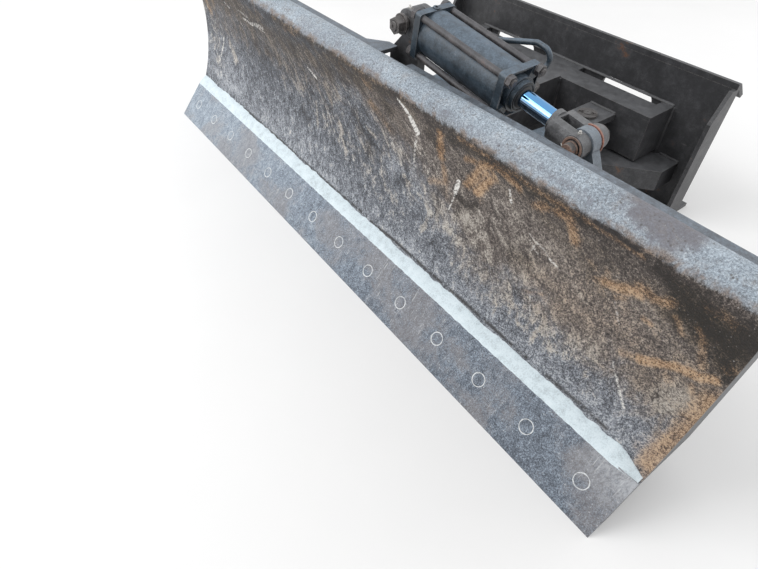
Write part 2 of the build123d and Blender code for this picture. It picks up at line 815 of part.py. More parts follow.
def make_cross_beam():
    """The box beam across the plate's front."""
    back = cross_back_y
    outer = block((-cross_half_width, cross_front_y, cross_bottom), (cross_half_width, back, cross_top))
    inner = block((-cross_half_width + spine_wall, cross_front_y + spine_wall, cross_bottom + spine_wall),
                  (cross_half_width - spine_wall, back - spine_wall, cross_top - spine_wall))
    return outer - inner


def make_base_lugs():
    """Upper and lower lugs for the right angle cylinder's base."""
    lugs = []
    for low in (tilt_z - lug_bottom - lug_thickness, tilt_z + lug_bottom):
        high = low + lug_thickness
        lug = block((angle_base_x - lug_radius, angle_base_y, low), (angle_base_x + lug_radius, cross_front_y, high))
        lug += bar((angle_base_x, angle_base_y, low), (angle_base_x, angle_base_y, high), lug_radius)
        lug -= bar((angle_base_x, angle_base_y, low - 1), (angle_base_x, angle_base_y, high + 1),
                   angle_pin_radius + hole_play)
        lugs.append(lug)
    return Compound(children=lugs)


def make_strut():
    """The low diagonal strut on the right side."""
    front = spine_start_y + strut_start
    outer_x = plate_half_width - strut_end_margin
    outline = [(spine_half_width, front), (outer_x, plate_front_y - strut_width), (outer_x, plate_front_y),
               (outer_x - strut_end_width, plate_front_y), (spine_half_width, front + strut_width)]
    return plate_z(outline, strut_bottom, strut_top)


def make_attach_plate():
    """The quick-attach plate with its windows."""
    plate = block((-plate_half_width, plate_front_y, 0), (plate_half_width, plate_back_y, plate_height))
    outline = RectangleRounded(2 * plate_window_half, plate_window_high - plate_window_low, plate_window_corner)
    for side in (-1, 1):
        centre = (side * plate_window_x, plate_back_y + 1, (plate_window_low + plate_window_high) / 2)
        face = Plane(origin=centre, x_dir=(1, 0, 0), z_dir=(0, -1, 0)) * outline
        plate -= extrude(face, plate_thickness + 2)
    return plate


def make_attach_lip():
    """The hooked lip along the top that the machine's coupler lifts under."""
    top = plate_height
    skew = lip_thickness / sqrt(2)
    outline = [(plate_front_y, top), (plate_back_y, top), (plate_back_y + lip_drop, top - lip_drop),
               (plate_back_y + lip_drop + skew, top - lip_drop + skew), (plate_back_y, top + 2 * skew),
               (plate_front_y, top + 2 * skew)]
    return plate_x(outline, -plate_half_width, plate_half_width)


def make_attach_foot():
    """The bottom flange with its two wedge slots."""
    foot = block((-plate_half_width, plate_back_y, 0), (plate_half_width, overall_length, plate_thickness))
    for side in (-1, 1):
        x = side * slot_x
        y = plate_back_y + attach_depth / 2
        slot = Plane(origin=(x, y, -1)) * SlotOverall(slot_length, slot_width)
        foot -= extrude(slot, plate_thickness + 2)
    return foot


def make_side_ribs():
    """The upright end ribs on the plate's front."""
    front = plate_front_y - plate_rib_depth
    toe_y, toe_z = plate_rib_toe
    top_y, top_z = plate_rib_top
    outline = [(front + toe_y, 0), (plate_front_y, 0), (plate_front_y, plate_height),
               (plate_front_y - top_y, plate_height), (front, plate_height - top_z), (front, toe_z)]
    ribs = []
    for side in (-1, 1):
        low_x = min(side * plate_half_width, side * (plate_half_width - plate_thickness))
        ribs.append(plate_x(outline, low_x, low_x + plate_thickness))
    return Compound(children=ribs)


def make_plate_joiner():
    """The packing between the cross beam and the plate."""
    inner = cross_half_width - joiner_width
    blocks = []
    for low, high in ((-spine_half_width, spine_half_width), (inner, cross_half_width), (-cross_half_width, -inner)):
        blocks.append(block((low, cross_back_y, cross_bottom), (high, plate_front_y, cross_top)))
    return Compound(children=blocks)


def place_tilt(shape, run=0.0):
    """Put a tilt cylinder piece at its base pin, run along its axis."""
    return Pos(tilt_base_x, ear_y, tilt_base_z) * Rot(Y=tilt_drop) * Pos(run, 0, 0) * shape


def place_angle(shape, run=0.0):
    """Put an angle cylinder piece at its right base pin, run along its axis."""
    heading = degrees(atan2(angle_rod_y - angle_base_y, angle_rod_x - angle_base_x))
    return Pos(angle_base_x, angle_base_y, tilt_z) * Rot(Z=heading) * Pos(run, 0, 0) * shape


def all_nodes():
    """Every node by its name, measured from the cutting edge."""
    nodes = {
        "moldboard": moldboard,
        "cutting_edge": make_cutting_edge(),
        "backing_bar": make_backing_bar(),
        "edge_bolts": make_edge_bolts(),
        "back_ribs": make_ribs(),
        "hub_webs": make_hub_webs(),
        "hub_plate": make_hub_plate(),
        "hub_tube": make_hub_tube(),
        "crown_plate": make_crown_plate(),
        "tilt_ear": make_tilt_ear(),
        "ear_brackets": make_ear_brackets(),
        "head_face": make_head_face(),
        "trunnion": make_trunnion(),
        "knuckles": make_knuckles(),
        "swing_pin": make_swing_pin(),
        "tilt_tower": make_tower(),
        "tower_rib": make_tower_rib(),
        "tilt_base_pin": make_tilt_base_pin(),
        "tilt_base_cap": place_tilt(make_base_cap()),
        "tilt_base_tangs": place_tilt(make_base_tangs()),
        "tilt_front_cap": place_tilt(make_front_cap()),
        "tilt_fittings": place_tilt(make_fittings()),
        "tilt_pipe": place_tilt(make_pipe()),
        "tilt_tube": place_tilt(make_tilt_tube()),
        "tilt_tie_rods": place_tilt(make_tie_rods()),
        "tilt_rod": place_tilt(make_tilt_rod()),
        "rod_clevis": place_tilt(make_rod_clevis(), tilt_run),
        "rod_pin": place_tilt(make_rod_pin(), tilt_run),
        "nose": make_nose(),
        "spine": make_spine(),
        "cross_beam": make_cross_beam(),
        "plate_joiner": make_plate_joiner(),
        "attach_plate": make_attach_plate(),
        "attach_lip": make_attach_lip(),
        "attach_foot": make_attach_foot(),
        "attach_ribs": make_side_ribs(),
    }
    right = {
        "upper_rail": make_rail(upper_rail_bottom, upper_rail_top),
        "lower_rail": make_rail(lower_rail_bottom, lower_rail_top),
        "end_plate": make_end_plate(),
        "arm_lugs": make_arm_lugs(),
        "base_lugs": make_base_lugs(),
        "strut": make_strut(),
        "angle_tube": place_angle(make_angle_tube()),
        "angle_gland": place_angle(make_angle_gland()),
        "angle_rod": place_angle(make_angle_rod()),
        "angle_rod_eye": place_angle(make_angle_rod_eye(), angle_run),
        "angle_rod_pin": place_angle(angle_pin(keeper_radius), angle_run),
        "angle_base_pin": place_angle(angle_pin(base_keeper_radius)),
    }
    for name, shape in right.items():
        nodes[name + "_right"] = shape
        nodes[name + "_left"] = mirrored(shape)
    return nodes


for name, shape in all_nodes().items():
    export_step(Pos(0, -overall_length / 2, 0) * shape, f"parts/{name}.step")
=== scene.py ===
"""Dresses the six-way dozer blade attachment: finishes, fine forms, floor, light and camera."""
import json
import logging
import math
import random
from dataclasses import dataclass
from enum import Enum

import bmesh
import bpy
import numpy as np
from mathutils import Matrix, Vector, noise


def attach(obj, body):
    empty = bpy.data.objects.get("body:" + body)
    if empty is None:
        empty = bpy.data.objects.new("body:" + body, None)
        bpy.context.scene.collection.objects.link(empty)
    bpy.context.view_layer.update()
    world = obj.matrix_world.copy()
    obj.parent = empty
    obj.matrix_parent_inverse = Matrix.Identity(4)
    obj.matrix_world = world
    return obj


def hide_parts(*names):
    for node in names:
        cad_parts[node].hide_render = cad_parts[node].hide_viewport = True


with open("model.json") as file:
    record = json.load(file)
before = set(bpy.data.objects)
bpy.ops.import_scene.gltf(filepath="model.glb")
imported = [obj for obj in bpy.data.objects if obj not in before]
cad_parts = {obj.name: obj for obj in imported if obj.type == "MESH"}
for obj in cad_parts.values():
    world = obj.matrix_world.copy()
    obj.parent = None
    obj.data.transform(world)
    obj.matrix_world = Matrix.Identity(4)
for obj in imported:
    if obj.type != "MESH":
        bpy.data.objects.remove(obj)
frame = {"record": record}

LOG = logging.getLogger("blade")
MM = 0.001
EDGE_Y = -0.575
Colour = tuple[float, float, float]
Point = tuple[float, float, float]
Ramp = tuple[tuple[float, Colour], ...]
Socket = bpy.types.NodeSocket
RIGHT = Vector((1, 0, 0))
FRONT = Vector((0, -1, 0))
UP = Vector((0, 0, 1))


# Node graphs
class Graph:
    """The node tree of one finish, with short calls for the nodes that the finishes share."""

    def __init__(self, name: str) -> None:
        """Starts a material with one shader and its output.

        Args:
            name: The material's name.
        """
        self.material = bpy.data.materials.new(name)
        self.material.use_nodes = True
        self.tree = self.material.node_tree
        self.tree.nodes.clear()
        self.surface = self.tree.nodes.new("ShaderNodeBsdfPrincipled")
        output = self.tree.nodes.new("ShaderNodeOutputMaterial")
        self.tree.links.new(self.surface.outputs[0], output.inputs["Surface"])
        self.place = self.tree.nodes.new("ShaderNodeTexCoord").outputs["Object"]

    def feed(self, socket: Socket, value: Socket | float | Colour) -> None:
        """Links a socket, or sets its own value.

        Args:
            socket: The input to feed.
            value: A socket to link, or a number or colour to set.
        """
        if isinstance(value, bpy.types.NodeSocket):
            self.tree.links.new(value, socket)
        elif isinstance(value, tuple) and socket.type == "RGBA":
            socket.default_value = (*value, 1.0)
        else:
            socket.default_value = value

    def stretched(self, scale: Point, place: Socket | None = None) -> Socket:
        """The place of a point, stretched along each axis.

        Args:
            scale: How many times each coordinate counts.
            place: The coordinates, or the object's own.

        Returns:
            The stretched coordinates.
        """
        node = self.tree.nodes.new("ShaderNodeMapping")
        node.inputs["Scale"].default_value = scale
        self.feed(node.inputs["Vector"], place or self.place)
        return node.outputs[0]

    def cloud(self, scale: float, detail: float = 4.0, rough: float = 0.6,
              stretch: Point = (1, 1, 1), place: Socket | None = None, swirl: float = 0.0) -> Socket:
        """Soft noise from 0 to 1.

        Args:
            scale: Patches per metre.
            detail: Octaves of finer noise.
            rough: How strong the finer noise is.
            stretch: How many times each coordinate counts.
            place: The coordinates, or the object's own.
            swirl: How far the noise bends itself.

        Returns:
            The noise value.
        """
        node = self.tree.nodes.new("ShaderNodeTexNoise")
        node.inputs["Scale"].default_value = scale
        node.inputs["Detail"].default_value = detail
        node.inputs["Roughness"].default_value = rough
        node.inputs["Distortion"].default_value = swirl
        self.feed(node.inputs["Vector"], self.stretched(stretch, place))
        return node.outputs["Fac"]

    def turned(self, angle: float) -> Socket:
        """The place of a point, turned in the upright plane that runs along the blade.

        Args:
            angle: How far, in radians.

        Returns:
            The turned coordinates.
        """
        node = self.tree.nodes.new("ShaderNodeMapping")
        node.inputs["Rotation"].default_value = (0.0, angle, 0.0)
        self.feed(node.inputs["Vector"], self.place)
        return node.outputs[0]

    def cells(self, scale: float, place: Socket | None = None) -> Socket:
        """The distance to the nearest of many scattered points, for pits and chips.

        Args:
            scale: Points per metre.
            place: The coordinates, or the object's own.

        Returns:
            The distance, as a part of the points' pitch.
        """
        node = self.tree.nodes.new("ShaderNodeTexVoronoi")
        node.inputs["Scale"].default_value = scale
        self.feed(node.inputs["Vector"], place or self.place)
        return node.outputs["Distance"]

    def span(self, value: Socket, low: float, high: float, start: float = 0.0, end: float = 1.0) -> Socket:
        """A smooth step of a value between two limits.

        Args:
            value: The value to read.
            low: Where the step starts.
            high: Where the step ends.
            start: What it gives up to low.
            end: What it gives from high.

        Returns:
            The stepped value.
        """
        node = self.tree.nodes.new("ShaderNodeMapRange")
        node.interpolation_type = "SMOOTHSTEP"
        for name, number in (("From Min", low), ("From Max", high), ("To Min", start), ("To Max", end)):
            node.inputs[name].default_value = number
        self.feed(node.inputs["Value"], value)
        return node.outputs["Result"]

    def times(self, first: Socket | float, second: Socket | float) -> Socket:
        """One value times another, held between 0 and 1.

        Args:
            first: The first value.
            second: The second value.

        Returns:
            The product.
        """
        node = self.tree.nodes.new("ShaderNodeMath")
        node.operation = "MULTIPLY"
        node.use_clamp = True
        self.feed(node.inputs[0], first)
        self.feed(node.inputs[1], second)
        return node.outputs[0]

    def layer(self, amount: Socket, under: Socket | Colour, over: Socket | Colour) -> Socket:
        """One colour laid over another.

        Args:
            amount: How much of the upper colour shows, from 0 to 1.
            under: The lower colour.
            over: The upper colour.

        Returns:
            The mixed colour.
        """
        node = self.tree.nodes.new("ShaderNodeMix")
        node.data_type = "RGBA"
        self.feed(node.inputs["Factor"], amount)
        self.feed(node.inputs[6], under)
        self.feed(node.inputs[7], over)
        return node.outputs[2]

    def tones(self, value: Socket, stops: tuple[tuple[float, Colour], ...]) -> Socket:
        """A colour that runs through several stops as a value grows.

        Args:
            value: The value to read.
            stops: Each stop's place from 0 to 1 and its colour.

        Returns:
            The colour.
        """
        node = self.tree.nodes.new("ShaderNodeValToRGB")
        band = node.color_ramp
        for index, (place, colour) in enumerate(stops):
            stop = band.elements[index] if index < 2 else band.elements.new(place)
            stop.position = place
            stop.color = (*colour, 1.0)
        self.feed(node.inputs[0], value)
        return node.outputs[0]

    def weighed(self, *parts: tuple[Socket, float], bias: float = 0.0) -> Socket:
        """A bias and several values, each times its own weight, added up.

        Args:
            parts: Each value and its weight.
            bias: What the sum starts from.

        Returns:
            The sum.
        """
        total: Socket | float = bias
        for value, weight in parts:
            node = self.tree.nodes.new("ShaderNodeMath")
            node.operation = "MULTIPLY_ADD"
            self.feed(node.inputs[0], value)
            self.feed(node.inputs[1], weight)
            self.feed(node.inputs[2], total)
            total = node.outputs[0]
        return total

    def painted(self, name: str) -> tuple[Socket, Socket, Socket]:
        """The three amounts painted on the mesh under a name.

        Args:
            name: The layer's name.

        Returns:
            The three amounts.
        """
        node = self.tree.nodes.new("ShaderNodeAttribute")
        node.attribute_name = name
        parts = self.tree.nodes.new("ShaderNodeSeparateColor")
        self.feed(parts.inputs[0], node.outputs["Color"])
        return parts.outputs[0], parts.outputs[1], parts.outputs[2]

    def carried(self, name: str) -> Socket:
        """A vector kept on the mesh under a name.

        Args:
            name: The layer's name.

        Returns:
            The vector.
        """
        node = self.tree.nodes.new("ShaderNodeAttribute")
        node.attribute_name = name
        return node.outputs["Vector"]

    def split(self, vector: Socket) -> tuple[Socket, Socket, Socket]:
        """The x, y and z of a vector.

        Args:
            vector: The vector.

        Returns:
            Its three parts.
        """
        node = self.tree.nodes.new("ShaderNodeSeparateXYZ")
        self.feed(node.inputs[0], vector)
        return node.outputs[0], node.outputs[1], node.outputs[2]

    def upward(self) -> Socket:
        """How much the surface faces up, from -1 to 1."""
        node = self.tree.nodes.new("ShaderNodeNewGeometry")
        return self.split(node.outputs["Normal"])[2]

    def rim(self, reach: float) -> Socket:
        """How near a point is to a sharp edge.

        Args:
            reach: How far from an edge it counts, in metres.

        Returns:
            The nearness, from 0 to 1.
        """
        bevel = self.tree.nodes.new("ShaderNodeBevel")
        bevel.samples = 4
        bevel.inputs["Radius"].default_value = reach
        flat = self.tree.nodes.new("ShaderNodeNewGeometry")
        dot = self.tree.nodes.new("ShaderNodeVectorMath")
        dot.operation = "DOT_PRODUCT"
        self.feed(dot.inputs[0], bevel.outputs[0])
        self.feed(dot.inputs[1], flat.outputs["Normal"])
        return self.span(dot.outputs["Value"], 0.99, 0.86)

    def relief(self, height: Socket, depth: float, strength: float = 1.0) -> None:
        """Gives the surface its bumps.

        Args:
            height: The height, from 0 to 1.
            depth: How deep that is, in metres.
            strength: How much of it shows.
        """
        node = self.tree.nodes.new("ShaderNodeBump")
        node.inputs["Strength"].default_value = strength
        node.inputs["Distance"].default_value = depth
        self.feed(node.inputs["Height"], height)
        self.feed(self.surface.inputs["Normal"], node.outputs[0])

    def finish(self, colour: Socket, roughness: Socket | float, metallic: float = 0.0) -> bpy.types.Material:
        """Feeds the shader and hands over the material.

        Args:
            colour: The base colour.
            roughness: The roughness, a socket or one number.
            metallic: How metallic all of the surface is.

        Returns:
            The finished material.
        """
        self.feed(self.surface.inputs["Base Color"], colour)
        self.feed(self.surface.inputs["Roughness"], roughness)
        self.surface.inputs["Metallic"].default_value = metallic
        return self.material


# Finishes
@dataclass(frozen=True)
class Grain:
    """The noises that the colours of the sheet share, from the broadest to the finest."""

    patches: Socket
    blotch: Socket
    flake: Socket
    grit: Socket
    fine: Socket


@dataclass(frozen=True)
class BladeSteel:
    """Scoured, rust-stained sheet with a dusty pale roll, with painted shade in the band under the roll and
    along the creases.
    """

    steel: Ramp = (
        (0.26, (0.015, 0.014, 0.015)), (0.38, (0.048, 0.050, 0.058)), (0.50, (0.116, 0.126, 0.148)),
        (0.60, (0.215, 0.234, 0.268)), (0.74, (0.500, 0.520, 0.550)))
    umber: Ramp = (
        (0.26, (0.016, 0.012, 0.010)), (0.38, (0.053, 0.042, 0.037)), (0.50, (0.124, 0.103, 0.092)),
        (0.60, (0.222, 0.190, 0.168)), (0.74, (0.500, 0.450, 0.400)))
    tan: Ramp = (
        (0.30, (0.082, 0.067, 0.056)), (0.43, (0.188, 0.163, 0.140)), (0.55, (0.342, 0.306, 0.268)),
        (0.70, (0.640, 0.600, 0.540)))
    brown: Ramp = (
        (0.28, (0.012, 0.009, 0.006)), (0.40, (0.042, 0.032, 0.023)), (0.52, (0.108, 0.084, 0.064)),
        (0.68, (0.290, 0.245, 0.200)))
    rust: Ramp = (
        (0.26, (0.040, 0.022, 0.012)), (0.38, (0.130, 0.070, 0.033)), (0.50, (0.290, 0.165, 0.080)),
        (0.64, (0.540, 0.380, 0.245)))
    roll: Ramp = (
        (0.28, (0.110, 0.120, 0.134)), (0.40, (0.225, 0.260, 0.300)), (0.52, (0.345, 0.410, 0.478)),
        (0.68, (0.600, 0.680, 0.750)))
    smeared: Colour = (0.110, 0.104, 0.118)
    fringed: Colour = (0.300, 0.235, 0.195)
    fringe_soil: Colour = (0.110, 0.085, 0.070)
    hazed: Colour = (0.220, 0.220, 0.250)
    dotted: Colour = (0.085, 0.085, 0.085)
    bare: Colour = (0.800, 0.780, 0.740)
    chipped: Colour = (0.560, 0.550, 0.540)
    # Soot in the pits, and the colour of the painted shade in the dark crease lines.
    soot_and_crease_shade: Colour = (0.020, 0.016, 0.015)
    strand_lean: float = 42.0

    def rolled(self, g: Graph, grain: Grain, smear: Socket, border: Socket) -> Socket:
        """The roll's pale colour, with its smears, its dots and the soiled fringe below it.

        Args:
            g: The finish's nodes.
            grain: The sheet's noises.
            smear: How much is smeared over it.
            border: How far above the roll's border a point lies.

        Returns:
            The colour.
        """
        cover = g.weighed((g.cloud(250, 5, 0.90), 1.35), (grain.fine, 0.5), (grain.patches, 0.26),
                          (grain.blotch, 0.30), bias=-0.705)
        colour = g.tones(cover, self.roll)
        wiped = g.span(g.weighed((smear, 0.5), (grain.flake, 1.2), (grain.grit, 0.8)), 1.16, 1.50, 0.0, 0.9)
        colour = g.layer(wiped, colour, g.layer(g.span(grain.grit, 0.30, 0.70), self.smeared, self.hazed))
        dots = g.times(g.span(g.cells(95), 0.10, 0.26, 1.0, 0.0), g.span(grain.blotch, 0.44, 0.54))
        colour = g.layer(g.times(dots, 0.8), colour, self.dotted)
        fringe = g.times(g.span(border, 0.62, 1.12, 0.90, 0.0), g.span(grain.blotch, 0.42, 0.56, 0.25, 1.0))
        soiled = g.layer(g.span(grain.fine, 0.35, 0.65), self.fringe_soil, self.fringed)
        return g.layer(fringe, colour, soiled)

    def material(self) -> bpy.types.Material:
        """Builds the material from the marks painted on the sheet.

        Returns:
            The material.
        """
        g = Graph("blade_steel")
        run = g.carried("sheet_place")
        rust, brown, dust = g.painted("stains")
        bare, tan, pits = g.painted("marks")
        # zones: dark stains with painted shade under the roll, the roll's border, and lines of painted shade
        # in the crease above the ledge and the crack under the roll.
        stain_and_shade, roll, lines = g.painted("zones")
        smear = g.painted("smears")[0]
        x, _, z = g.split(g.place)
        combed = g.span(x, 0.45, -0.25)
        foot = g.span(z, 0.165, 0.350, 1.0, 0.0)
        patches = g.cloud(5.5, 5, 0.62, (1, 0.7, 1), run, 0.7)
        blotch = g.cloud(17, 8, 0.72, (1, 0.78, 1), run, 1.1)
        flake = g.cloud(46, 7, 0.74, (1, 0.75, 1), run, 0.5)
        streaks = g.times(g.cloud(190, 4, 0.78, (1, 0.20, 1), run, 0.2), combed)
        grit = g.cloud(185, 4, 0.90)
        fine = g.cloud(380, 3, 0.92)
        pit = g.span(g.cells(210), 0.18, 0.42, 1.0, 0.0)
        holes = g.times(pit, g.times(pits, g.span(flake, 0.36, 0.50)))
        # The dark mark darkens the tone: dark stains, and painted shade in the band under the roll.
        tone = g.weighed((streaks, 0.84), (combed, -0.43), (grit, 1.25), (fine, 1.05), (flake, 0.60),
                         (blotch, 0.36), (patches, 0.16), (dust, 0.070), (stain_and_shade, -0.115), bias=-1.225)
        aged = g.span(g.weighed((combed, -0.55), (blotch, 1.0), (brown, 0.40), (dust, -0.10), (foot, -0.44)),
                      0.06, 0.52)
        colour = g.layer(aged, g.tones(tone, self.steel), g.tones(tone, self.umber))
        warm = g.weighed((tan, 0.26), (blotch, 0.9), (flake, 0.8), (grit, 0.4), (streaks, 0.4),
                         (combed, -0.2), bias=-0.64)
        colour = g.layer(g.span(warm, 0.54, 0.70, 0.0, 0.72), colour,
                         g.tones(g.weighed((tone, 1.0), (tan, 0.035), bias=0.02), self.tan))
        soil = g.weighed((brown, 0.34), (stain_and_shade, 0.06), (blotch, 0.7), (flake, 0.4), (grit, 0.4), bias=-0.34)
        colour = g.layer(g.span(soil, 0.56, 0.86, 0.0, 0.92), colour, g.tones(tone, self.brown))
        crust = g.weighed((rust, 0.52), (flake, 0.5), (blotch, 0.3), (grit, 0.6), (fine, 0.4), bias=-0.58)
        colour = g.layer(g.span(crust, 0.44, 0.88, 0.0, 0.95), colour,
                         g.tones(g.weighed((tone, 1.0), (rust, 0.03), bias=0.02), self.rust))
        colour = g.layer(g.times(holes, 0.82), colour, self.soot_and_crease_shade)
        chips = g.times(g.span(g.cells(150), 0.08, 0.20, 1.0, 0.0), g.span(grit, 0.54, 0.60))
        colour = g.layer(g.times(chips, 0.8), colour, self.chipped)
        border = g.weighed((roll, 1.0), (grit, 0.5), (flake, 0.8), (fine, 0.3), bias=-0.80)
        rolled = self.rolled(g, Grain(patches, blotch, flake, grit, fine), smear, border)
        colour = g.layer(g.span(border, 0.28, 0.66), colour, rolled)
        strands = g.cloud(260, 4, 0.8, (0.14, 1, 1), g.turned(math.radians(self.strand_lean)))
        scraped = g.times(bare, g.span(g.weighed((strands, 0.65), (grit, 0.35)), 0.40, 0.56, 0.10, 1.0))
        colour = g.layer(g.span(scraped, 0.15, 0.55, 0.0, 0.92), colour, self.bare)
        # Painted shade: the dark crease lines, laid in the pits' dark colour.
        colour = g.layer(g.times(lines, g.span(flake, 0.40, 0.50)), colour, self.soot_and_crease_shade)
        height = g.weighed((streaks, 0.3), (grit, 0.8), (fine, 0.3), (flake, 0.35), (holes, -0.5))
        g.relief(height, 0.0022, 0.9)
        return g.finish(colour, g.span(grit, 0.3, 0.7, 0.50, 0.76), 0.05)


@dataclass(frozen=True)
class EdgeSteel:
    """Dark wear steel with a thin film of dust and a scoured lower edge."""

    steel: Ramp = (
        (0.26, (0.045, 0.052, 0.066)), (0.40, (0.135, 0.160, 0.198)), (0.54, (0.228, 0.275, 0.336)),
        (0.72, (0.520, 0.590, 0.660)))
    warm: Colour = (0.225, 0.200, 0.192)
    powder: Colour = (0.430, 0.445, 0.470)
    fleck: Colour = (0.620, 0.630, 0.640)

    def material(self) -> bpy.types.Material:
        """Builds the material.

        Returns:
            The material.
        """
        g = Graph("edge_steel")
        broad = g.cloud(5, 5, 0.62, (1, 1, 1), None, 0.5)
        fine = g.cloud(310, 4, 0.90)
        middle = g.cloud(60, 7, 0.8, (1, 0.6, 0.6))
        x, _, z = g.split(g.place)
        low = g.span(z, 0.002, 0.030, 1.0, 0.0)
        left = g.span(x, 0.75, -1.0)
        tone = g.weighed((broad, 0.20), (fine, 1.60), (middle, 0.70), (low, -0.02), (left, 0.165),
                         bias=-0.825)
        colour = g.tones(tone, self.steel)
        warmed = g.span(g.weighed((broad, 1.0), (middle, 0.4)), 0.64, 0.82, 0.0, 0.5)
        colour = g.layer(warmed, colour, self.warm)
        corner = g.times(g.span(x, 0.900, 1.045), g.span(z, 0.035, 0.105))
        powdered = g.times(corner, g.span(middle, 0.40, 0.62, 0.25, 0.95))
        colour = g.layer(powdered, colour, self.powder)
        flecks = g.times(g.span(g.cells(120), 0.07, 0.18, 1.0, 0.0), g.span(middle, 0.49, 0.56))
        colour = g.layer(g.times(flecks, 0.9), colour, self.fleck)
        scuffs = g.span(g.cloud(150, 3, 0.6, (1, 0.10, 0.10), None, 1.6), 0.64, 0.70)
        colour = g.layer(g.times(scuffs, g.span(broad, 0.42, 0.60, 0.0, 0.7)), colour, self.fleck)
        g.relief(g.weighed((fine, 0.6), (middle, 0.4)), 0.0012, 0.7)
        return g.finish(colour, g.span(fine, 0.3, 0.7, 0.50, 0.70), 0.1)


@dataclass(frozen=True)
class PaleDust:
    """Rock dust packed into a corner."""

    name: str
    dust: Ramp = (
        (0.34, (0.430, 0.490, 0.520)), (0.50, (0.690, 0.790, 0.840)), (0.66, (0.800, 0.880, 0.920)))

    def material(self) -> bpy.types.Material:
        """Builds the material.

        Returns:
            The material.
        """
        g = Graph(self.name)
        grain = g.cloud(300, 5, 0.8)
        broad = g.cloud(40, 4, 0.6)
        colour = g.tones(g.weighed((grain, 0.6), (broad, 0.4)), self.dust)
        g.relief(grain, 0.0016, 0.9)
        return g.finish(colour, 0.92)


@dataclass(frozen=True)
class WornPaint:
    """Paint with dust on what faces up, bare rims and rust where it has flaked."""

    name: str
    paint: Colour
    dusty: Colour = (0.150, 0.155, 0.165)
    rusty: Colour = (0.110, 0.052, 0.028)
    rim_metal: Colour = (0.210, 0.195, 0.185)
    dust: float = 0.8
    rust: float = 0.5
    rim: float = 0.0022
    shine: tuple[float, float] = (0.42, 0.62)
    metallic: float = 0.0
    cloudy: float = 1.0

    def material(self) -> bpy.types.Material:
        """Builds the material.

        Returns:
            The material.
        """
        g = Graph(self.name)
        broad = g.cloud(11, 5, 0.62, (1, 1, 1), None, 0.5)
        mottle = g.cloud(42, 6, 0.72, (1, 1, 1), None, 0.4)
        fine = g.cloud(260, 4, 0.75)
        streak = g.cloud(48, 4, 0.65, (1, 1, 0.22))
        shade = g.weighed((broad, 0.8), (mottle, 0.9), (fine, 0.5), bias=-0.60)
        colour = g.tones(shade, ((0.34, tuple(part * (1.0 - 0.5 * self.cloudy) for part in self.paint)),
                                 (0.50, self.paint),
                                 (0.66, tuple(min(1.0, part + (0.9 * part + 0.010) * self.cloudy)
                                              for part in self.paint))))
        flakes = g.span(g.weighed((broad, 0.50), (mottle, 0.35), (fine, 0.15)),
                        0.625 - 0.07 * self.rust, 0.680 - 0.06 * self.rust)
        worn = g.times(g.rim(self.rim), g.span(fine, 0.36, 0.56))
        colour = g.layer(g.times(flakes, 0.85), colour,
                         g.tones(g.weighed((mottle, 0.6), (fine, 0.5)), (
                             (0.40, tuple(part * 0.45 for part in self.rusty)), (0.54, self.rusty),
                             (0.70, tuple(min(1.0, part * 1.9) for part in self.rusty)))))
        colour = g.layer(g.times(worn, 0.8), colour, self.rim_metal)
        scores = g.span(g.cloud(170, 3, 0.6, (0.08, 1, 1), None, 1.2), 0.66, 0.72, 0.0, 0.55)
        colour = g.layer(g.times(scores, g.span(mottle, 0.46, 0.60)), colour, self.rim_metal)
        film = g.times(g.span(g.upward(), 0.05, 0.9, 0.16, 1.0),
                       g.span(g.weighed((fine, 0.7), (mottle, 0.5)), 0.40, 0.78, 0.30, 1.0))
        film = g.times(film, g.span(streak, 0.3, 0.6, 0.55, 1.0))
        colour = g.layer(g.times(film, self.dust), colour, self.dusty)
        specks = g.times(g.span(g.cells(120), 0.06, 0.16, 1.0, 0.0), g.span(mottle, 0.52, 0.58))
        colour = g.layer(g.times(specks, 0.75), colour, tuple(part * 0.25 for part in self.paint))
        rough = g.span(g.weighed((film, 0.6), (fine, 0.4)), 0.2, 0.8, self.shine[0], self.shine[1] + 0.2)
        g.relief(g.weighed((fine, 0.45), (mottle, 0.30), (flakes, -0.35)), 0.0009, 0.8)
        return g.finish(colour, rough, self.metallic)


@dataclass(frozen=True)
class Chrome:
    """A bright plated rod with a faint film, fine score lines and a painted reflection: one colour where it
    faces sideways and another where it faces up.
    """

    name: str = "chrome_rod"
    # side and top are a painted reflection: the rod's colours where it faces sideways and where it faces up.
    side: Colour = (0.45, 0.62, 0.80)
    top: Colour = (0.15, 0.37, 0.68)
    film: Colour = (0.14, 0.24, 0.38)

    def material(self) -> bpy.types.Material:
        """Builds the material.

        Returns:
            The material.
        """
        g = Graph(self.name)
        film = g.cloud(30, 4, 0.6)
        score = g.cloud(600, 2, 0.5, (0.06, 1, 1))
        # Painted reflection: the colour runs from the side colour to the top colour as the surface turns to
        # face up.
        colour = g.layer(g.span(g.upward(), -0.1, 0.75), self.side, self.top)
        colour = g.layer(g.span(film, 0.55, 0.75, 0.0, 0.5), colour, self.film)
        g.relief(score, 0.0002, 0.15)
        return g.finish(colour, g.span(film, 0.4, 0.75, 0.07, 0.20), 1.0)


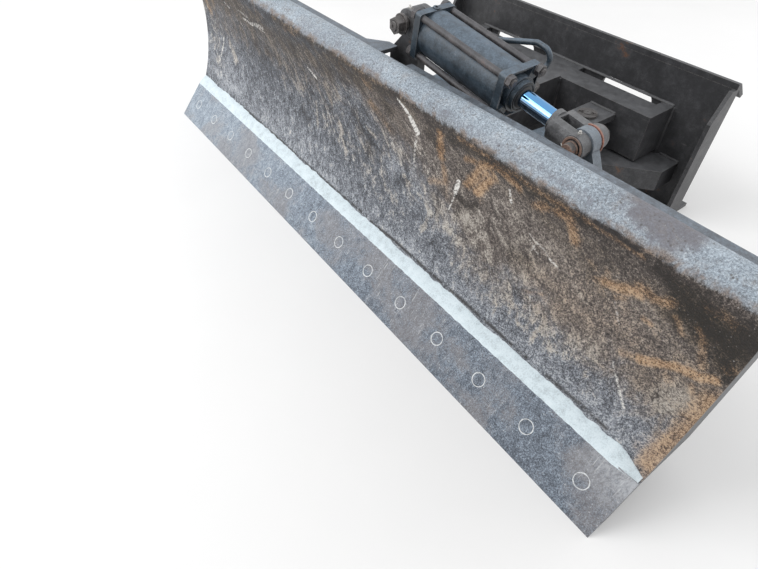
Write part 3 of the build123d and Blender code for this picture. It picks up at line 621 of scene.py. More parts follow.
class Finishes(Enum):
    """The named finishes of the part."""

    BLADE = BladeSteel()
    EDGE = EdgeSteel()
    DUST = PaleDust("packed_dust")
    RING = PaleDust("ring_dust", (
        (0.36, (0.300, 0.315, 0.335)), (0.48, (0.680, 0.700, 0.710)), (0.60, (0.860, 0.880, 0.890))))
    FRAME = WornPaint("frame_paint", (0.040, 0.040, 0.043), cloudy=0.5)
    BACK = WornPaint("back_paint", (0.038, 0.038, 0.041), dusty=(0.250, 0.295, 0.350), rust=0.8, cloudy=0.5)
    CYLINDER = WornPaint("cylinder_black", (0.016, 0.025, 0.034), dusty=(0.168, 0.222, 0.285), rust=0.55,
                         shine=(0.32, 0.50))
    TIE_ROD = WornPaint("tie_rod_steel", (0.048, 0.042, 0.042), dusty=(0.135, 0.140, 0.155), rust=0.9,
                        rim_metal=(0.26, 0.24, 0.23), metallic=0.1)
    CASTING = WornPaint("bare_clevis", (0.098, 0.098, 0.102), dusty=(0.175, 0.182, 0.190), rust=0.9,
                        rusty=(0.125, 0.072, 0.046), rim_metal=(0.32, 0.33, 0.35), metallic=0.1)
    EAR = WornPaint("ear_plate", (0.145, 0.168, 0.196), dusty=(0.250, 0.290, 0.330), rust=0.8,
                    rim_metal=(0.36, 0.38, 0.41), cloudy=0.6)
    PIN = WornPaint("pin_steel", (0.075, 0.068, 0.066), dusty=(0.165, 0.160, 0.160), rust=1.0,
                    rusty=(0.150, 0.055, 0.028), rim_metal=(0.36, 0.34, 0.33), metallic=0.2)
    BUSH = WornPaint("rusty_bush", (0.250, 0.165, 0.130), dusty=(0.200, 0.180, 0.170), rust=1.4,
                     rusty=(0.200, 0.085, 0.042), rim_metal=(0.30, 0.25, 0.22), metallic=0.1)
    RED_RUST = WornPaint("red_rust", (0.270, 0.110, 0.080), dusty=(0.320, 0.220, 0.190), rust=1.2,
                         rusty=(0.300, 0.110, 0.065), rim_metal=(0.40, 0.20, 0.14))
    WIRE = WornPaint("plated_wire", (0.520, 0.510, 0.490), dusty=(0.620, 0.610, 0.590), rust=0.3,
                     rusty=(0.300, 0.220, 0.160), rim_metal=(0.70, 0.69, 0.67), shine=(0.20, 0.40),
                     metallic=0.4)
    RUBBER = WornPaint("wiper_rubber", (0.022, 0.022, 0.024), dusty=(0.090, 0.088, 0.090), rust=0.0,
                       rim_metal=(0.060, 0.058, 0.058), shine=(0.55, 0.75))
    # Both chromes carry a painted reflection in their side and top colours.
    CHROME = Chrome()
    PLAIN_CHROME = Chrome("chrome_rod_plain", (0.62, 0.66, 0.71), (0.46, 0.52, 0.60), (0.26, 0.29, 0.33))


class Paintbox:
    """Builds each finish once and hands it to what wears it."""

    def __init__(self) -> None:
        """Starts empty."""
        self.made: dict[Finishes, bpy.types.Material] = {}

    def get(self, finish: Finishes) -> bpy.types.Material:
        """Hands over a finish, built when it is first asked for.

        Args:
            finish: The finish.

        Returns:
            Its material.
        """
        if finish not in self.made:
            self.made[finish] = finish.value.material()
        return self.made[finish]


# Mesh helpers
def add_piece(name: str, points: list, faces: list, body: str, material: bpy.types.Material,
              smooth: float = 40.0) -> bpy.types.Object:
    """Makes an object, lets it ride on a body and gives it its finish.

    Args:
        name: The piece's name.
        points: Its points in metres.
        faces: Its faces, as point numbers.
        body: The body that it rides on.
        material: The finish.
        smooth: Edges flatter than this many degrees are shaded smooth.

    Returns:
        The new object.
    """
    mesh = bpy.data.meshes.new(name)
    mesh.from_pydata([tuple(point) for point in points], [], faces)
    mesh.validate()
    piece = bpy.data.objects.new(name, mesh)
    bpy.context.scene.collection.objects.link(piece)
    work = bmesh.new()
    work.from_mesh(mesh)
    bmesh.ops.recalc_face_normals(work, faces=work.faces)
    for edge in work.edges:
        edge.smooth = len(edge.link_faces) == 2 and edge.calc_face_angle() < math.radians(smooth)
    for face in work.faces:
        face.smooth = True
    work.to_mesh(mesh)
    work.free()
    mesh.materials.append(material)
    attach(piece, body)
    return piece


class Shape:
    """Points and faces gathered for one piece."""

    def __init__(self) -> None:
        """Starts empty."""
        self.points: list[Vector] = []
        self.faces: list[tuple[int, ...]] = []

    def skin(self, rows: list[list[Vector]], around: bool = True, loop: bool = False) -> None:
        """Joins rows of points into a closed skin.

        Args:
            rows: The rows, all of one length.
            around: Whether each row runs right round.
            loop: Whether the last row joins the first, instead of both being capped.
        """
        first, size = len(self.points), len(rows[0])
        self.points.extend(point for row in rows for point in row)
        for index in range(len(rows) if loop else len(rows) - 1):
            after = (index + 1) % len(rows)
            for side in range(size if around else size - 1):
                turn = (side + 1) % size
                self.faces.append((first + index * size + side, first + index * size + turn,
                                   first + after * size + turn, first + after * size + side))
        if not loop:
            self.faces.append(tuple(first + side for side in range(size)))
            self.faces.append(tuple(first + (len(rows) - 1) * size + side for side in range(size)))

    def turned(self, base: Vector, axis: Vector, profile: tuple[tuple[float, float], ...], steps: int = 40,
               loop: bool = False) -> None:
        """Adds a turned solid.

        Args:
            base: Where its height is zero.
            axis: The way that it stands.
            profile: Its (radius, height) pairs in millimetres.
            steps: How many sides it has.
            loop: Whether the profile closes on itself, as a ring's does.
        """
        along = axis.normalized()
        across = along.orthogonal().normalized()
        other = along.cross(across)
        rows = []
        for radius, height in profile:
            row = []
            for step in range(steps):
                turn = 2 * math.pi * step / steps
                spoke = across * math.cos(turn) + other * math.sin(turn)
                row.append(base + along * (height * MM) + spoke * (max(radius, 0.02) * MM))
            rows.append(row)
        self.skin(rows, loop=loop)

    def nut(self, base: Vector, axis: Vector, across: Vector, flat: float, height: float) -> None:
        """Adds a hex nut or bolt head with turned-off corners.

        Args:
            base: The middle of its seat.
            axis: The way that it stands.
            across: The way that one corner points.
            flat: Half its width across the flats, in millimetres.
            height: Its height in millimetres.
        """
        along = axis.normalized()
        first = (across - along * across.dot(along)).normalized()
        other = along.cross(first)
        steps, rows = 60, []
        for inset, level in ((None, 0.02), (None, 1.0), (0.97, 1.0), (0.60, 1.0), (0.56, 0.97)):
            row = []
            for step in range(steps):
                turn = 2 * math.pi * step / steps
                corner = flat / math.cos((turn + math.pi / 3) % (math.pi / 3) - math.pi / 6)
                reach = corner if inset is None else flat * inset
                drop = 0.5 * max(0.0, corner - flat * 1.01) if inset is None and level == 1.0 else 0.0
                spoke = first * math.cos(turn) + other * math.sin(turn)
                row.append(base + along * ((height * level - drop) * MM) + spoke * (reach * MM))
            rows.append(row)
        self.skin(rows)

    def tube(self, path: list[Vector], radius: float, steps: int = 10) -> None:
        """Adds a round wire.

        Args:
            path: The wire's middle line.
            radius: Its radius in millimetres.
            steps: How many sides it has.
        """
        rows = []
        side = (path[1] - path[0]).orthogonal().normalized()
        for index, point in enumerate(path):
            ahead = (path[min(index + 1, len(path) - 1)] - path[max(index - 1, 0)]).normalized()
            side = (side - ahead * side.dot(ahead)).normalized()
            other = ahead.cross(side)
            rows.append([point + (side * math.cos(2 * math.pi * step / steps)
                                  + other * math.sin(2 * math.pi * step / steps)) * (radius * MM)
                         for step in range(steps)])
        self.skin(rows)

    def bead(self, path: list[Vector], first: Vector, second: Vector, size: float, seed: float) -> None:
        """Adds a rippled weld bead in a corner.

        Args:
            path: The corner's line.
            first: The way that one leg runs along its plate.
            second: The way that the other leg runs along its plate.
            size: The legs' length in millimetres.
            seed: What its unevenness is drawn from.
        """
        runs, spots = 0.0, []
        for start, end in zip(path, path[1:]):
            count = max(1, round((end - start).length / 0.0024))
            spots += [(start.lerp(end, step / count), runs + (end - start).length * step / count)
                      for step in range(count)]
            runs += (end - start).length
        spots.append((path[-1], runs))
        rows = []
        for index, (point, run) in enumerate(spots):
            uneven = 0.16 * noise.noise((run * 40, seed, 0)) + 0.10 * noise.noise((run * 160, seed, 2))
            legs = size * MM * (1 + uneven)
            ripple = 1.0 + (0.13 if index % 2 else -0.03)
            tip = 0.55 if index in (0, len(spots) - 1) else 1.0
            row = [point - (first + second) * 0.0004]
            for part in (0.0, 0.22, 0.5, 0.78, 1.0):
                swell = 1.0 + 0.42 * math.sin(math.pi * part) * ripple
                place = (first * (1 - part) + second * part) * (legs * tip * swell)
                row.append(point + place - (first * part + second * (1 - part)) * 0.0002)
            rows.append(row)
        self.skin(rows)

    def make(self, name: str, body: str, slot: str, material: bpy.types.Material,
             smooth: float = 40.0) -> bpy.types.Object:
        """Makes the piece from what was gathered."""
        return add_piece(name, self.points, self.faces, body, material, smooth)


def spot(x: float, y: float, z: float) -> Vector:
    """A place given in millimetres, with y counted back from the cutting edge."""
    return Vector((x * MM, EDGE_Y + y * MM, z * MM))


# The blade
class Mark(Enum):
    """What a stroke leaves on the sheet: its layer and its channel there."""

    RUST = ("stains", 0)
    BROWN = ("stains", 1)
    DUST = ("stains", 2)
    BARE = ("marks", 0)
    TAN = ("marks", 1)
    PITS = ("marks", 2)
    # Dark stains, and painted shade in the band under the roll.
    DARK = ("zones", 0)
    # Painted shade in creases: dark lines above the ledge and under the roll.
    LINE = ("zones", 2)
    SMEAR = ("smears", 0)


@dataclass(frozen=True)
class Stroke:
    """One stain, scrape or stroke of painted shade on the blade's face, along a line of (x, z) places in
    millimetres.
    """

    mark: Mark
    strength: float
    width: float
    line: tuple[tuple[float, float], ...]
    start: float = 1.0

    def far(self, x: np.ndarray, z: np.ndarray) -> np.ndarray:
        """How far places lie from the stroke's line.

        Args:
            x: The places along the blade, in millimetres.
            z: Their heights, in millimetres.

        Returns:
            The distances, in widths of the stroke.
        """
        nearest = np.full(len(x), np.inf)
        runs = len(self.line) - 1
        for index, ((low_x, low_z), (high_x, high_z)) in enumerate(zip(self.line, self.line[1:])):
            dx, dz = high_x - low_x, high_z - low_z
            part = np.clip(((x - low_x) * dx + (z - low_z) * dz) / (dx * dx + dz * dz), 0, 1)
            width = self.width * (self.start + (1 - self.start) * (index + part) / runs)
            nearest = np.minimum(nearest, np.hypot(x - low_x - part * dx, z - low_z - part * dz) / width)
        return nearest


RUST, BROWN, DUST, BARE, TAN, PITS, DARK, LINE, SMEAR = Mark
STROKES = (
    Stroke(RUST, 0.60, 22, ((-1055, 510), (-1030, 450), (-1000, 400))),
    Stroke(RUST, 0.45, 14, ((-1010, 520), (-985, 470), (-950, 430))),
    Stroke(RUST, 0.60, 10, ((-1008, 422), (-991, 395))),
    Stroke(RUST, 0.45, 12, ((-562, 511), (-518, 505))),
    Stroke(RUST, 0.40, 6, ((-440, 530), (-194, 535), (0, 530), (200, 532))),
    Stroke(RUST, 0.45, 10, ((-372, 516), (-316, 520))),
    Stroke(RUST, 0.50, 12, ((-68, 512), (-46, 503))),
    Stroke(RUST, 0.50, 18, ((40, 514), (69, 506))),
    Stroke(RUST, 0.60, 14, ((63, 458), (82, 446))),
    Stroke(RUST, 0.45, 15, ((98, 448), (119, 427), (142, 417))),
    Stroke(RUST, 0.55, 14, ((310, 355), (366, 380))),
    Stroke(RUST, 0.95, 14, ((340, 497), (342, 464), (346, 442))),
    Stroke(RUST, 0.70, 14, ((355, 417), (362, 386))),
    Stroke(RUST, 0.40, 16, ((366, 378), (376, 332))),
    Stroke(RUST, 0.62, 9, ((400, 520), (520, 516), (640, 514), (760, 514), (860, 516))),
    Stroke(RUST, 0.80, 10, ((423, 478), (451, 482))),
    Stroke(RUST, 0.95, 14, ((432, 415), (451, 446), (471, 479), (494, 496))),
    Stroke(RUST, 0.55, 6, ((440, 540), (560, 542), (673, 541), (756, 532), (900, 533))),
    Stroke(RUST, 0.80, 10, ((443, 417), (468, 448), (490, 475))),
    Stroke(RUST, 1.10, 14, ((464, 412), (483, 436), (500, 458))),
    Stroke(RUST, 0.45, 14, ((471, 404), (476, 397))),
    Stroke(RUST, 0.85, 12, ((494, 496), (514, 506), (545, 501), (575, 491))),
    Stroke(RUST, 0.70, 12, ((502, 485), (514, 473))),
    Stroke(RUST, 0.75, 14, ((626, 479), (651, 489))),
    Stroke(RUST, 0.40, 16, ((653, 298), (692, 329))),
    Stroke(RUST, 0.60, 8, ((667, 267), (701, 288))),
    Stroke(RUST, 0.85, 14, ((677, 495), (702, 496), (715, 475), (726, 457))),
    Stroke(RUST, 0.36, 110, ((700, 300), (820, 330), (960, 330))),
    Stroke(RUST, 0.35, 18, ((755, 359), (776, 386))),
    Stroke(RUST, 0.40, 14, ((767, 437), (783, 426))),
    Stroke(RUST, 0.60, 12, ((791, 403), (813, 409))),
    Stroke(RUST, 0.45, 9, ((806, 440), (819, 421))),
    Stroke(RUST, 0.95, 15, ((813, 409), (840, 416), (872, 437))),
    Stroke(RUST, 0.85, 12, ((828, 415), (857, 432), (881, 435))),
    Stroke(RUST, 0.60, 10, ((843, 392), (858, 405))),
    Stroke(RUST, 0.80, 14, ((875, 451), (904, 449), (926, 460))),
    Stroke(RUST, 0.60, 12, ((896, 293), (931, 308))),
    Stroke(RUST, 0.75, 9, ((903, 390), (919, 390))),
    Stroke(RUST, 1.05, 12, ((931, 308), (959, 325), (990, 347), (1020, 359), (1046, 373))),
    Stroke(RUST, 0.60, 8, ((947, 438), (957, 428), (968, 413))),
    Stroke(RUST, 0.45, 18, ((983, 501), (999, 500), (1019, 499))),
    Stroke(RUST, 0.50, 15, ((984, 319), (998, 310))),
    Stroke(RUST, 0.60, 9, ((984, 445), (995, 436))),
    Stroke(RUST, 0.60, 14, ((998, 428), (1005, 405), (1017, 380))),
    Stroke(RUST, 0.60, 10, ((1026, 335), (1037, 320))),
    Stroke(RUST, 0.55, 14, ((1048, 339), (1058, 353))),
    Stroke(RUST, 0.50, 15, ((1051, 410), (1060, 414))),
    Stroke(RUST, 0.50, 30, ((1052, 299), (1057, 322))),
    Stroke(RUST, 0.85, 34, ((1067, 330), (1062, 242), (1058, 180), (1056, 140))),
    Stroke(BROWN, 0.9, 60, ((-1067, 430), (-900, 455), (-640, 450), (-400, 460), (-150, 465))),
    Stroke(BROWN, 0.9, 50, ((-1067, 470), (-1000, 490), (-700, 480), (-560, 480))),
    Stroke(BROWN, 0.7, 80, ((-940, 380), (-700, 400), (-420, 410), (-160, 420))),
    Stroke(BROWN, 0.9, 18, ((-440, 526), (-194, 532), (0, 527), (156, 525), (300, 534), (470, 538),
                            (640, 538))),
    Stroke(BROWN, 0.8, 34, ((-160, 505), (0, 497), (150, 470), (250, 490))),
    Stroke(BROWN, 1.00, 12, ((-68, 512), (-38, 501), (38, 505), (110, 515), (167, 527))),
    Stroke(BROWN, 0.90, 16, ((59, 457), (82, 446), (119, 427), (154, 422))),
    Stroke(BROWN, 0.80, 20, ((168, 474), (209, 431))),
    Stroke(BROWN, 0.6, 60, ((300, 480), (380, 460), (420, 400))),
    Stroke(BROWN, 0.90, 22, ((380, 512), (560, 506), (760, 506))),
    Stroke(BROWN, 0.8, 60, ((500, 500), (640, 480), (700, 440), (760, 430), (810, 400))),
    Stroke(BROWN, 0.5, 110, ((560, 250), (700, 300), (860, 300))),
    Stroke(BROWN, 0.5, 120, ((600, 330), (760, 360), (900, 260))),
    Stroke(BROWN, 0.7, 80, ((780, 470), (900, 430), (980, 400), (1067, 330))),
    Stroke(BROWN, 0.9, 60, ((940, 450), (1067, 400))),
    Stroke(BROWN, 0.7, 90, ((960, 300), (1067, 240))),
    Stroke(BROWN, 0.90, 60, ((965, 483), (1029, 447))),
    Stroke(DUST, 0.9, 26, ((-1067, 165), (-900, 170), (-733, 170), (-500, 160), (-200, 152))),
    Stroke(DUST, 1.2, 34, ((-1067, 190), (-960, 195), (-820, 185))),
    Stroke(DUST, 0.9, 50, ((-1067, 250), (-1000, 240))),
    Stroke(DUST, 1.10, 70, ((-1040, 230), (-900, 215), (-700, 190))),
    Stroke(DUST, 2.40, 20, ((-981, 181), (-917, 169), (-850, 169), (-754, 170))),
    Stroke(DUST, 1.20, 30, ((-923, 193), (-806, 217))),
    Stroke(DUST, 1.50, 34, ((-900, 165), (-500, 158), (-100, 152), (400, 150), (960, 150))),
    Stroke(DUST, 1.40, 40, ((-900, 190), (-800, 180), (-630, 178))),
    Stroke(DUST, 0.9, 60, ((-640, 200), (-400, 190), (-100, 180), (120, 165), (300, 160))),
    Stroke(DUST, 1.0, 14, ((60, 148), (300, 148), (560, 150), (860, 145), (1040, 142))),
    Stroke(DUST, 1.70, 46, ((180, 330), (260, 318), (330, 300), (400, 280))),
    Stroke(DUST, 1.00, 40, ((230, 268), (300, 262), (360, 250))),
    Stroke(DUST, 0.9, 90, ((500, 200), (700, 200), (900, 190), (1000, 190))),
    Stroke(DUST, 1.50, 34, ((610, 272), (656, 279), (700, 284))),
    Stroke(DUST, 1.40, 18, ((678, 413), (712, 404))),
    Stroke(DUST, 0.7, 70, ((680, 390), (760, 340))),
    Stroke(DUST, 0.8, 60, ((820, 360), (930, 370), (990, 400))),
    Stroke(DUST, 1.00, 34, ((860, 292), (900, 286))),
    Stroke(DUST, 1.20, 34, ((1015, 225), (1030, 262))),
    Stroke(BARE, 0.9, 5, ((-957, 217), (-940, 250), (-922, 290), (-910, 322)), 0.35),
    Stroke(BARE, 0.55, 3, ((-833, 469), (-796, 458))),
    Stroke(BARE, 0.45, 3.5, ((-727, 429), (-710, 422))),
    Stroke(BARE, 0.34, 8, ((-720, 470), (-650, 468)), 0.6),
    Stroke(BARE, 0.42, 10, ((-690, 452), (-640, 452), (-600, 458), (-545, 463)), 0.5),
    Stroke(BARE, 0.60, 4, ((-678, 455), (-621, 449))),
    Stroke(BARE, 0.40, 2.5, ((-612, 454), (-524, 452))),
    Stroke(BARE, 0.7, 5, ((-268, 434), (-240, 424), (-222, 417)), 0.6),
    Stroke(BARE, 1.0, 9, ((183, 521), (200, 511), (217, 499), (232, 484), (252, 460)), 0.3),
    Stroke(BARE, 0.9, 4, ((214, 505), (226, 488), (238, 470)), 0.4),
    Stroke(BARE, 0.30, 8, ((225, 372), (232, 340), (238, 318)), 0.6),
    Stroke(BARE, 0.42, 6, ((252, 460), (246, 430), (243, 400), (243, 382), (247, 353)), 1.2),
    Stroke(BARE, 0.55, 3, ((401, 376), (396, 345), (388, 310)), 1.0),
    Stroke(BARE, 0.95, 8, ((406, 407), (403, 390), (400, 374)), 0.8),
    Stroke(BARE, 0.6, 5, ((555, 474), (560, 460), (565, 444)), 0.5),
    Stroke(BARE, 0.42, 3, ((626, 400), (645, 392), (671, 388), (684, 378))),
    Stroke(BARE, 0.5, 2.5, ((632, 387), (650, 372), (664, 366)), 0.7),
    Stroke(BARE, 0.36, 2.5, ((639, 357), (647, 386))),
    Stroke(BARE, 0.30, 3, ((676, 266), (688, 244), (699, 224)), 0.6),
    Stroke(BARE, 0.46, 3, ((677, 265), (698, 223))),
    Stroke(BARE, 0.4, 4, ((689, 372), (718, 370)), 0.5),
    Stroke(BARE, 0.62, 3.5, ((689, 375), (705, 372), (715, 369))),
    Stroke(BARE, 0.3, 2.5, ((700, 470), (735, 430), (760, 392)), 0.7),
    Stroke(BARE, 0.30, 2.5, ((702, 264), (710, 247))),
    Stroke(BARE, 0.30, 2.5, ((717, 276), (724, 261))),
    Stroke(BARE, 0.34, 3, ((843, 381), (858, 360), (874, 338)), 0.6),
    Stroke(BARE, 0.36, 3, ((844, 384), (861, 357), (873, 341))),
    Stroke(BARE, 0.40, 3, ((845, 383), (854, 370), (867, 349))),
    Stroke(BARE, 0.6, 4, ((896, 262), (915, 242), (936, 220), (960, 198)), 0.5),
    Stroke(BARE, 0.30, 3, ((914, 348), (929, 341))),
    Stroke(BARE, 0.26, 2.5, ((930, 372), (950, 350), (962, 322)), 0.7),
    Stroke(TAN, 1.00, 8, ((-1067, 410), (-1060, 376))),
    Stroke(TAN, 0.60, 50, ((-1060, 520), (-1020, 420), (-990, 300), (-960, 200))),
    Stroke(TAN, 1.40, 6, ((-1015, 424), (-993, 391))),
    Stroke(TAN, 1.00, 18, ((-858, 319), (-810, 264))),
    Stroke(TAN, 1.10, 7, ((-434, 405), (-419, 396))),
    Stroke(TAN, 0.55, 60, ((-420, 400), (-250, 330), (-100, 300), (40, 260), (200, 220))),
    Stroke(TAN, 1.10, 7, ((-380, 446), (-364, 426))),
    Stroke(TAN, 0.90, 8, ((-290, 399), (-285, 367))),
    Stroke(TAN, 0.50, 80, ((-250, 460), (-100, 400), (100, 350), (240, 300))),
    Stroke(TAN, 1.00, 8, ((-233, 339), (-218, 274))),
    Stroke(TAN, 0.90, 6, ((-175, 312), (-162, 286))),
    Stroke(TAN, 1.20, 11, ((-99, 330), (-76, 312), (-88, 290))),
    Stroke(TAN, 1.40, 9, ((-72, 286), (-57, 262))),
    Stroke(TAN, 1.00, 9, ((41, 373), (67, 369))),
    Stroke(TAN, 1.00, 12, ((135, 375), (186, 371))),
    Stroke(TAN, 0.90, 9, ((178, 368), (193, 342))),
    Stroke(TAN, 1.00, 8, ((238, 407), (249, 367))),
    Stroke(TAN, 1.00, 12, ((273, 300), (330, 279), (321, 226))),
    Stroke(TAN, 0.55, 110, ((300, 380), (480, 300), (640, 330))),
    Stroke(TAN, 0.80, 18, ((382, 271), (452, 262))),
    Stroke(TAN, 1.40, 9, ((448, 350), (452, 314))),
    Stroke(TAN, 0.90, 12, ((527, 409), (548, 376))),
    Stroke(TAN, 0.60, 60, ((560, 250), (700, 230), (840, 240))),
    Stroke(TAN, 0.80, 18, ((624, 273), (656, 292))),
    Stroke(TAN, 0.90, 12, ((627, 214), (655, 248))),
    Stroke(TAN, 0.80, 10, ((755, 359), (780, 340), (798, 340))),
    Stroke(TAN, 1.30, 26, ((1007, 265), (1016, 297), (1044, 301))),
    Stroke(PITS, 0.6, 110, ((300, 260), (460, 230))),
    Stroke(PITS, 0.9, 110, ((560, 250), (760, 220), (980, 250))),
    Stroke(PITS, 1.0, 110, ((760, 330), (919, 372), (1010, 420))),
    # Dark stains, and painted shade along the band under the roll's overhang.
    Stroke(DARK, 0.7, 60, ((-1067, 500), (-760, 500), (-560, 500), (-300, 505), (-100, 500))),
    Stroke(DARK, 1.0, 20, ((-1067, 518), (-440, 521), (0, 523), (260, 526), (540, 526), (760, 526),
                           (1067, 522))),
    Stroke(DARK, 0.9, 30, ((-900, 500), (-600, 506), (-300, 508), (0, 508))),
    Stroke(DARK, 1.20, 16, ((-724, 489), (-688, 461))),
    Stroke(DARK, 0.5, 90, ((-700, 400), (-500, 380), (-300, 400))),
    Stroke(DARK, 0.90, 18, ((-548, 393), (-505, 366))),
    Stroke(DARK, 1.00, 16, ((-361, 477), (-334, 464))),
    Stroke(DARK, 1.10, 14, ((-318, 279), (-276, 261))),
    Stroke(DARK, 1.30, 15, ((-82, 472), (-48, 464))),
    Stroke(DARK, 1.00, 18, ((-23, 390), (12, 352))),
    Stroke(DARK, 1.20, 16, ((56, 345), (53, 303))),
    Stroke(DARK, 1.50, 15, ((124, 497), (139, 471))),
    Stroke(DARK, 1.20, 14, ((191, 293), (226, 311))),
    Stroke(DARK, 1.30, 10, ((205, 361), (220, 337))),
    Stroke(DARK, 1.40, 18, ((300, 476), (340, 462))),
    Stroke(DARK, 1.20, 16, ((300, 506), (460, 508), (620, 508), (740, 508))),
    Stroke(DARK, 1.30, 18, ((335, 318), (356, 292))),
    Stroke(DARK, 1.60, 9, ((407, 366), (440, 358), (466, 376))),
    Stroke(DARK, 1.20, 12, ((426, 337), (419, 317))),
    Stroke(DARK, 1.60, 11, ((483, 527), (521, 523), (558, 524))),
    Stroke(DARK, 1.00, 20, ((605, 318), (634, 327))),
    Stroke(DARK, 0.6, 50, ((700, 512), (900, 500))),
    Stroke(DARK, 1.0, 46, ((900, 500), (980, 486), (1067, 470))),
    Stroke(DARK, 2.20, 26, ((904, 512), (938, 494), (969, 474))),
    Stroke(DARK, 0.9, 34, ((930, 470), (1000, 440), (1060, 425))),
    Stroke(DARK, 2.40, 40, ((969, 472), (1007, 460), (1039, 459), (1041, 488))),
    Stroke(DARK, 1.2, 40, ((980, 470), (1067, 450))),
    Stroke(DARK, 2.00, 26, ((1024, 441), (1045, 412))),
    # Painted shade: dark lines along the crease above the ledge dust and the crack under the roll.
    Stroke(LINE, 0.9, 3.5, ((-700, 137), (-420, 136), (-120, 135), (80, 137))),
    Stroke(LINE, 0.9, 4.5, ((130, 136), (360, 137), (600, 138), (740, 137))),
    Stroke(LINE, 0.55, 3, ((360, 432), (388, 423))),
    Stroke(LINE, 0.7, 3, ((513, 212), (530, 230), (552, 253))),
    Stroke(LINE, 1.40, 5.5, ((757, 524), (779, 525), (799, 527), (824, 524), (848, 525))),
    Stroke(LINE, 0.8, 4.5, ((800, 138), (900, 139), (960, 136))),
    Stroke(SMEAR, 0.5, 30, ((-300, 560), (-100, 552), (100, 556))),
    Stroke(SMEAR, 0.55, 14, ((300, 548), (480, 552), (620, 556), (760, 548))),
    Stroke(SMEAR, 1.3, 40, ((790, 616), (830, 606), (880, 592))),
    Stroke(SMEAR, 1.1, 26, ((805, 580), (850, 572), (885, 566))),
)


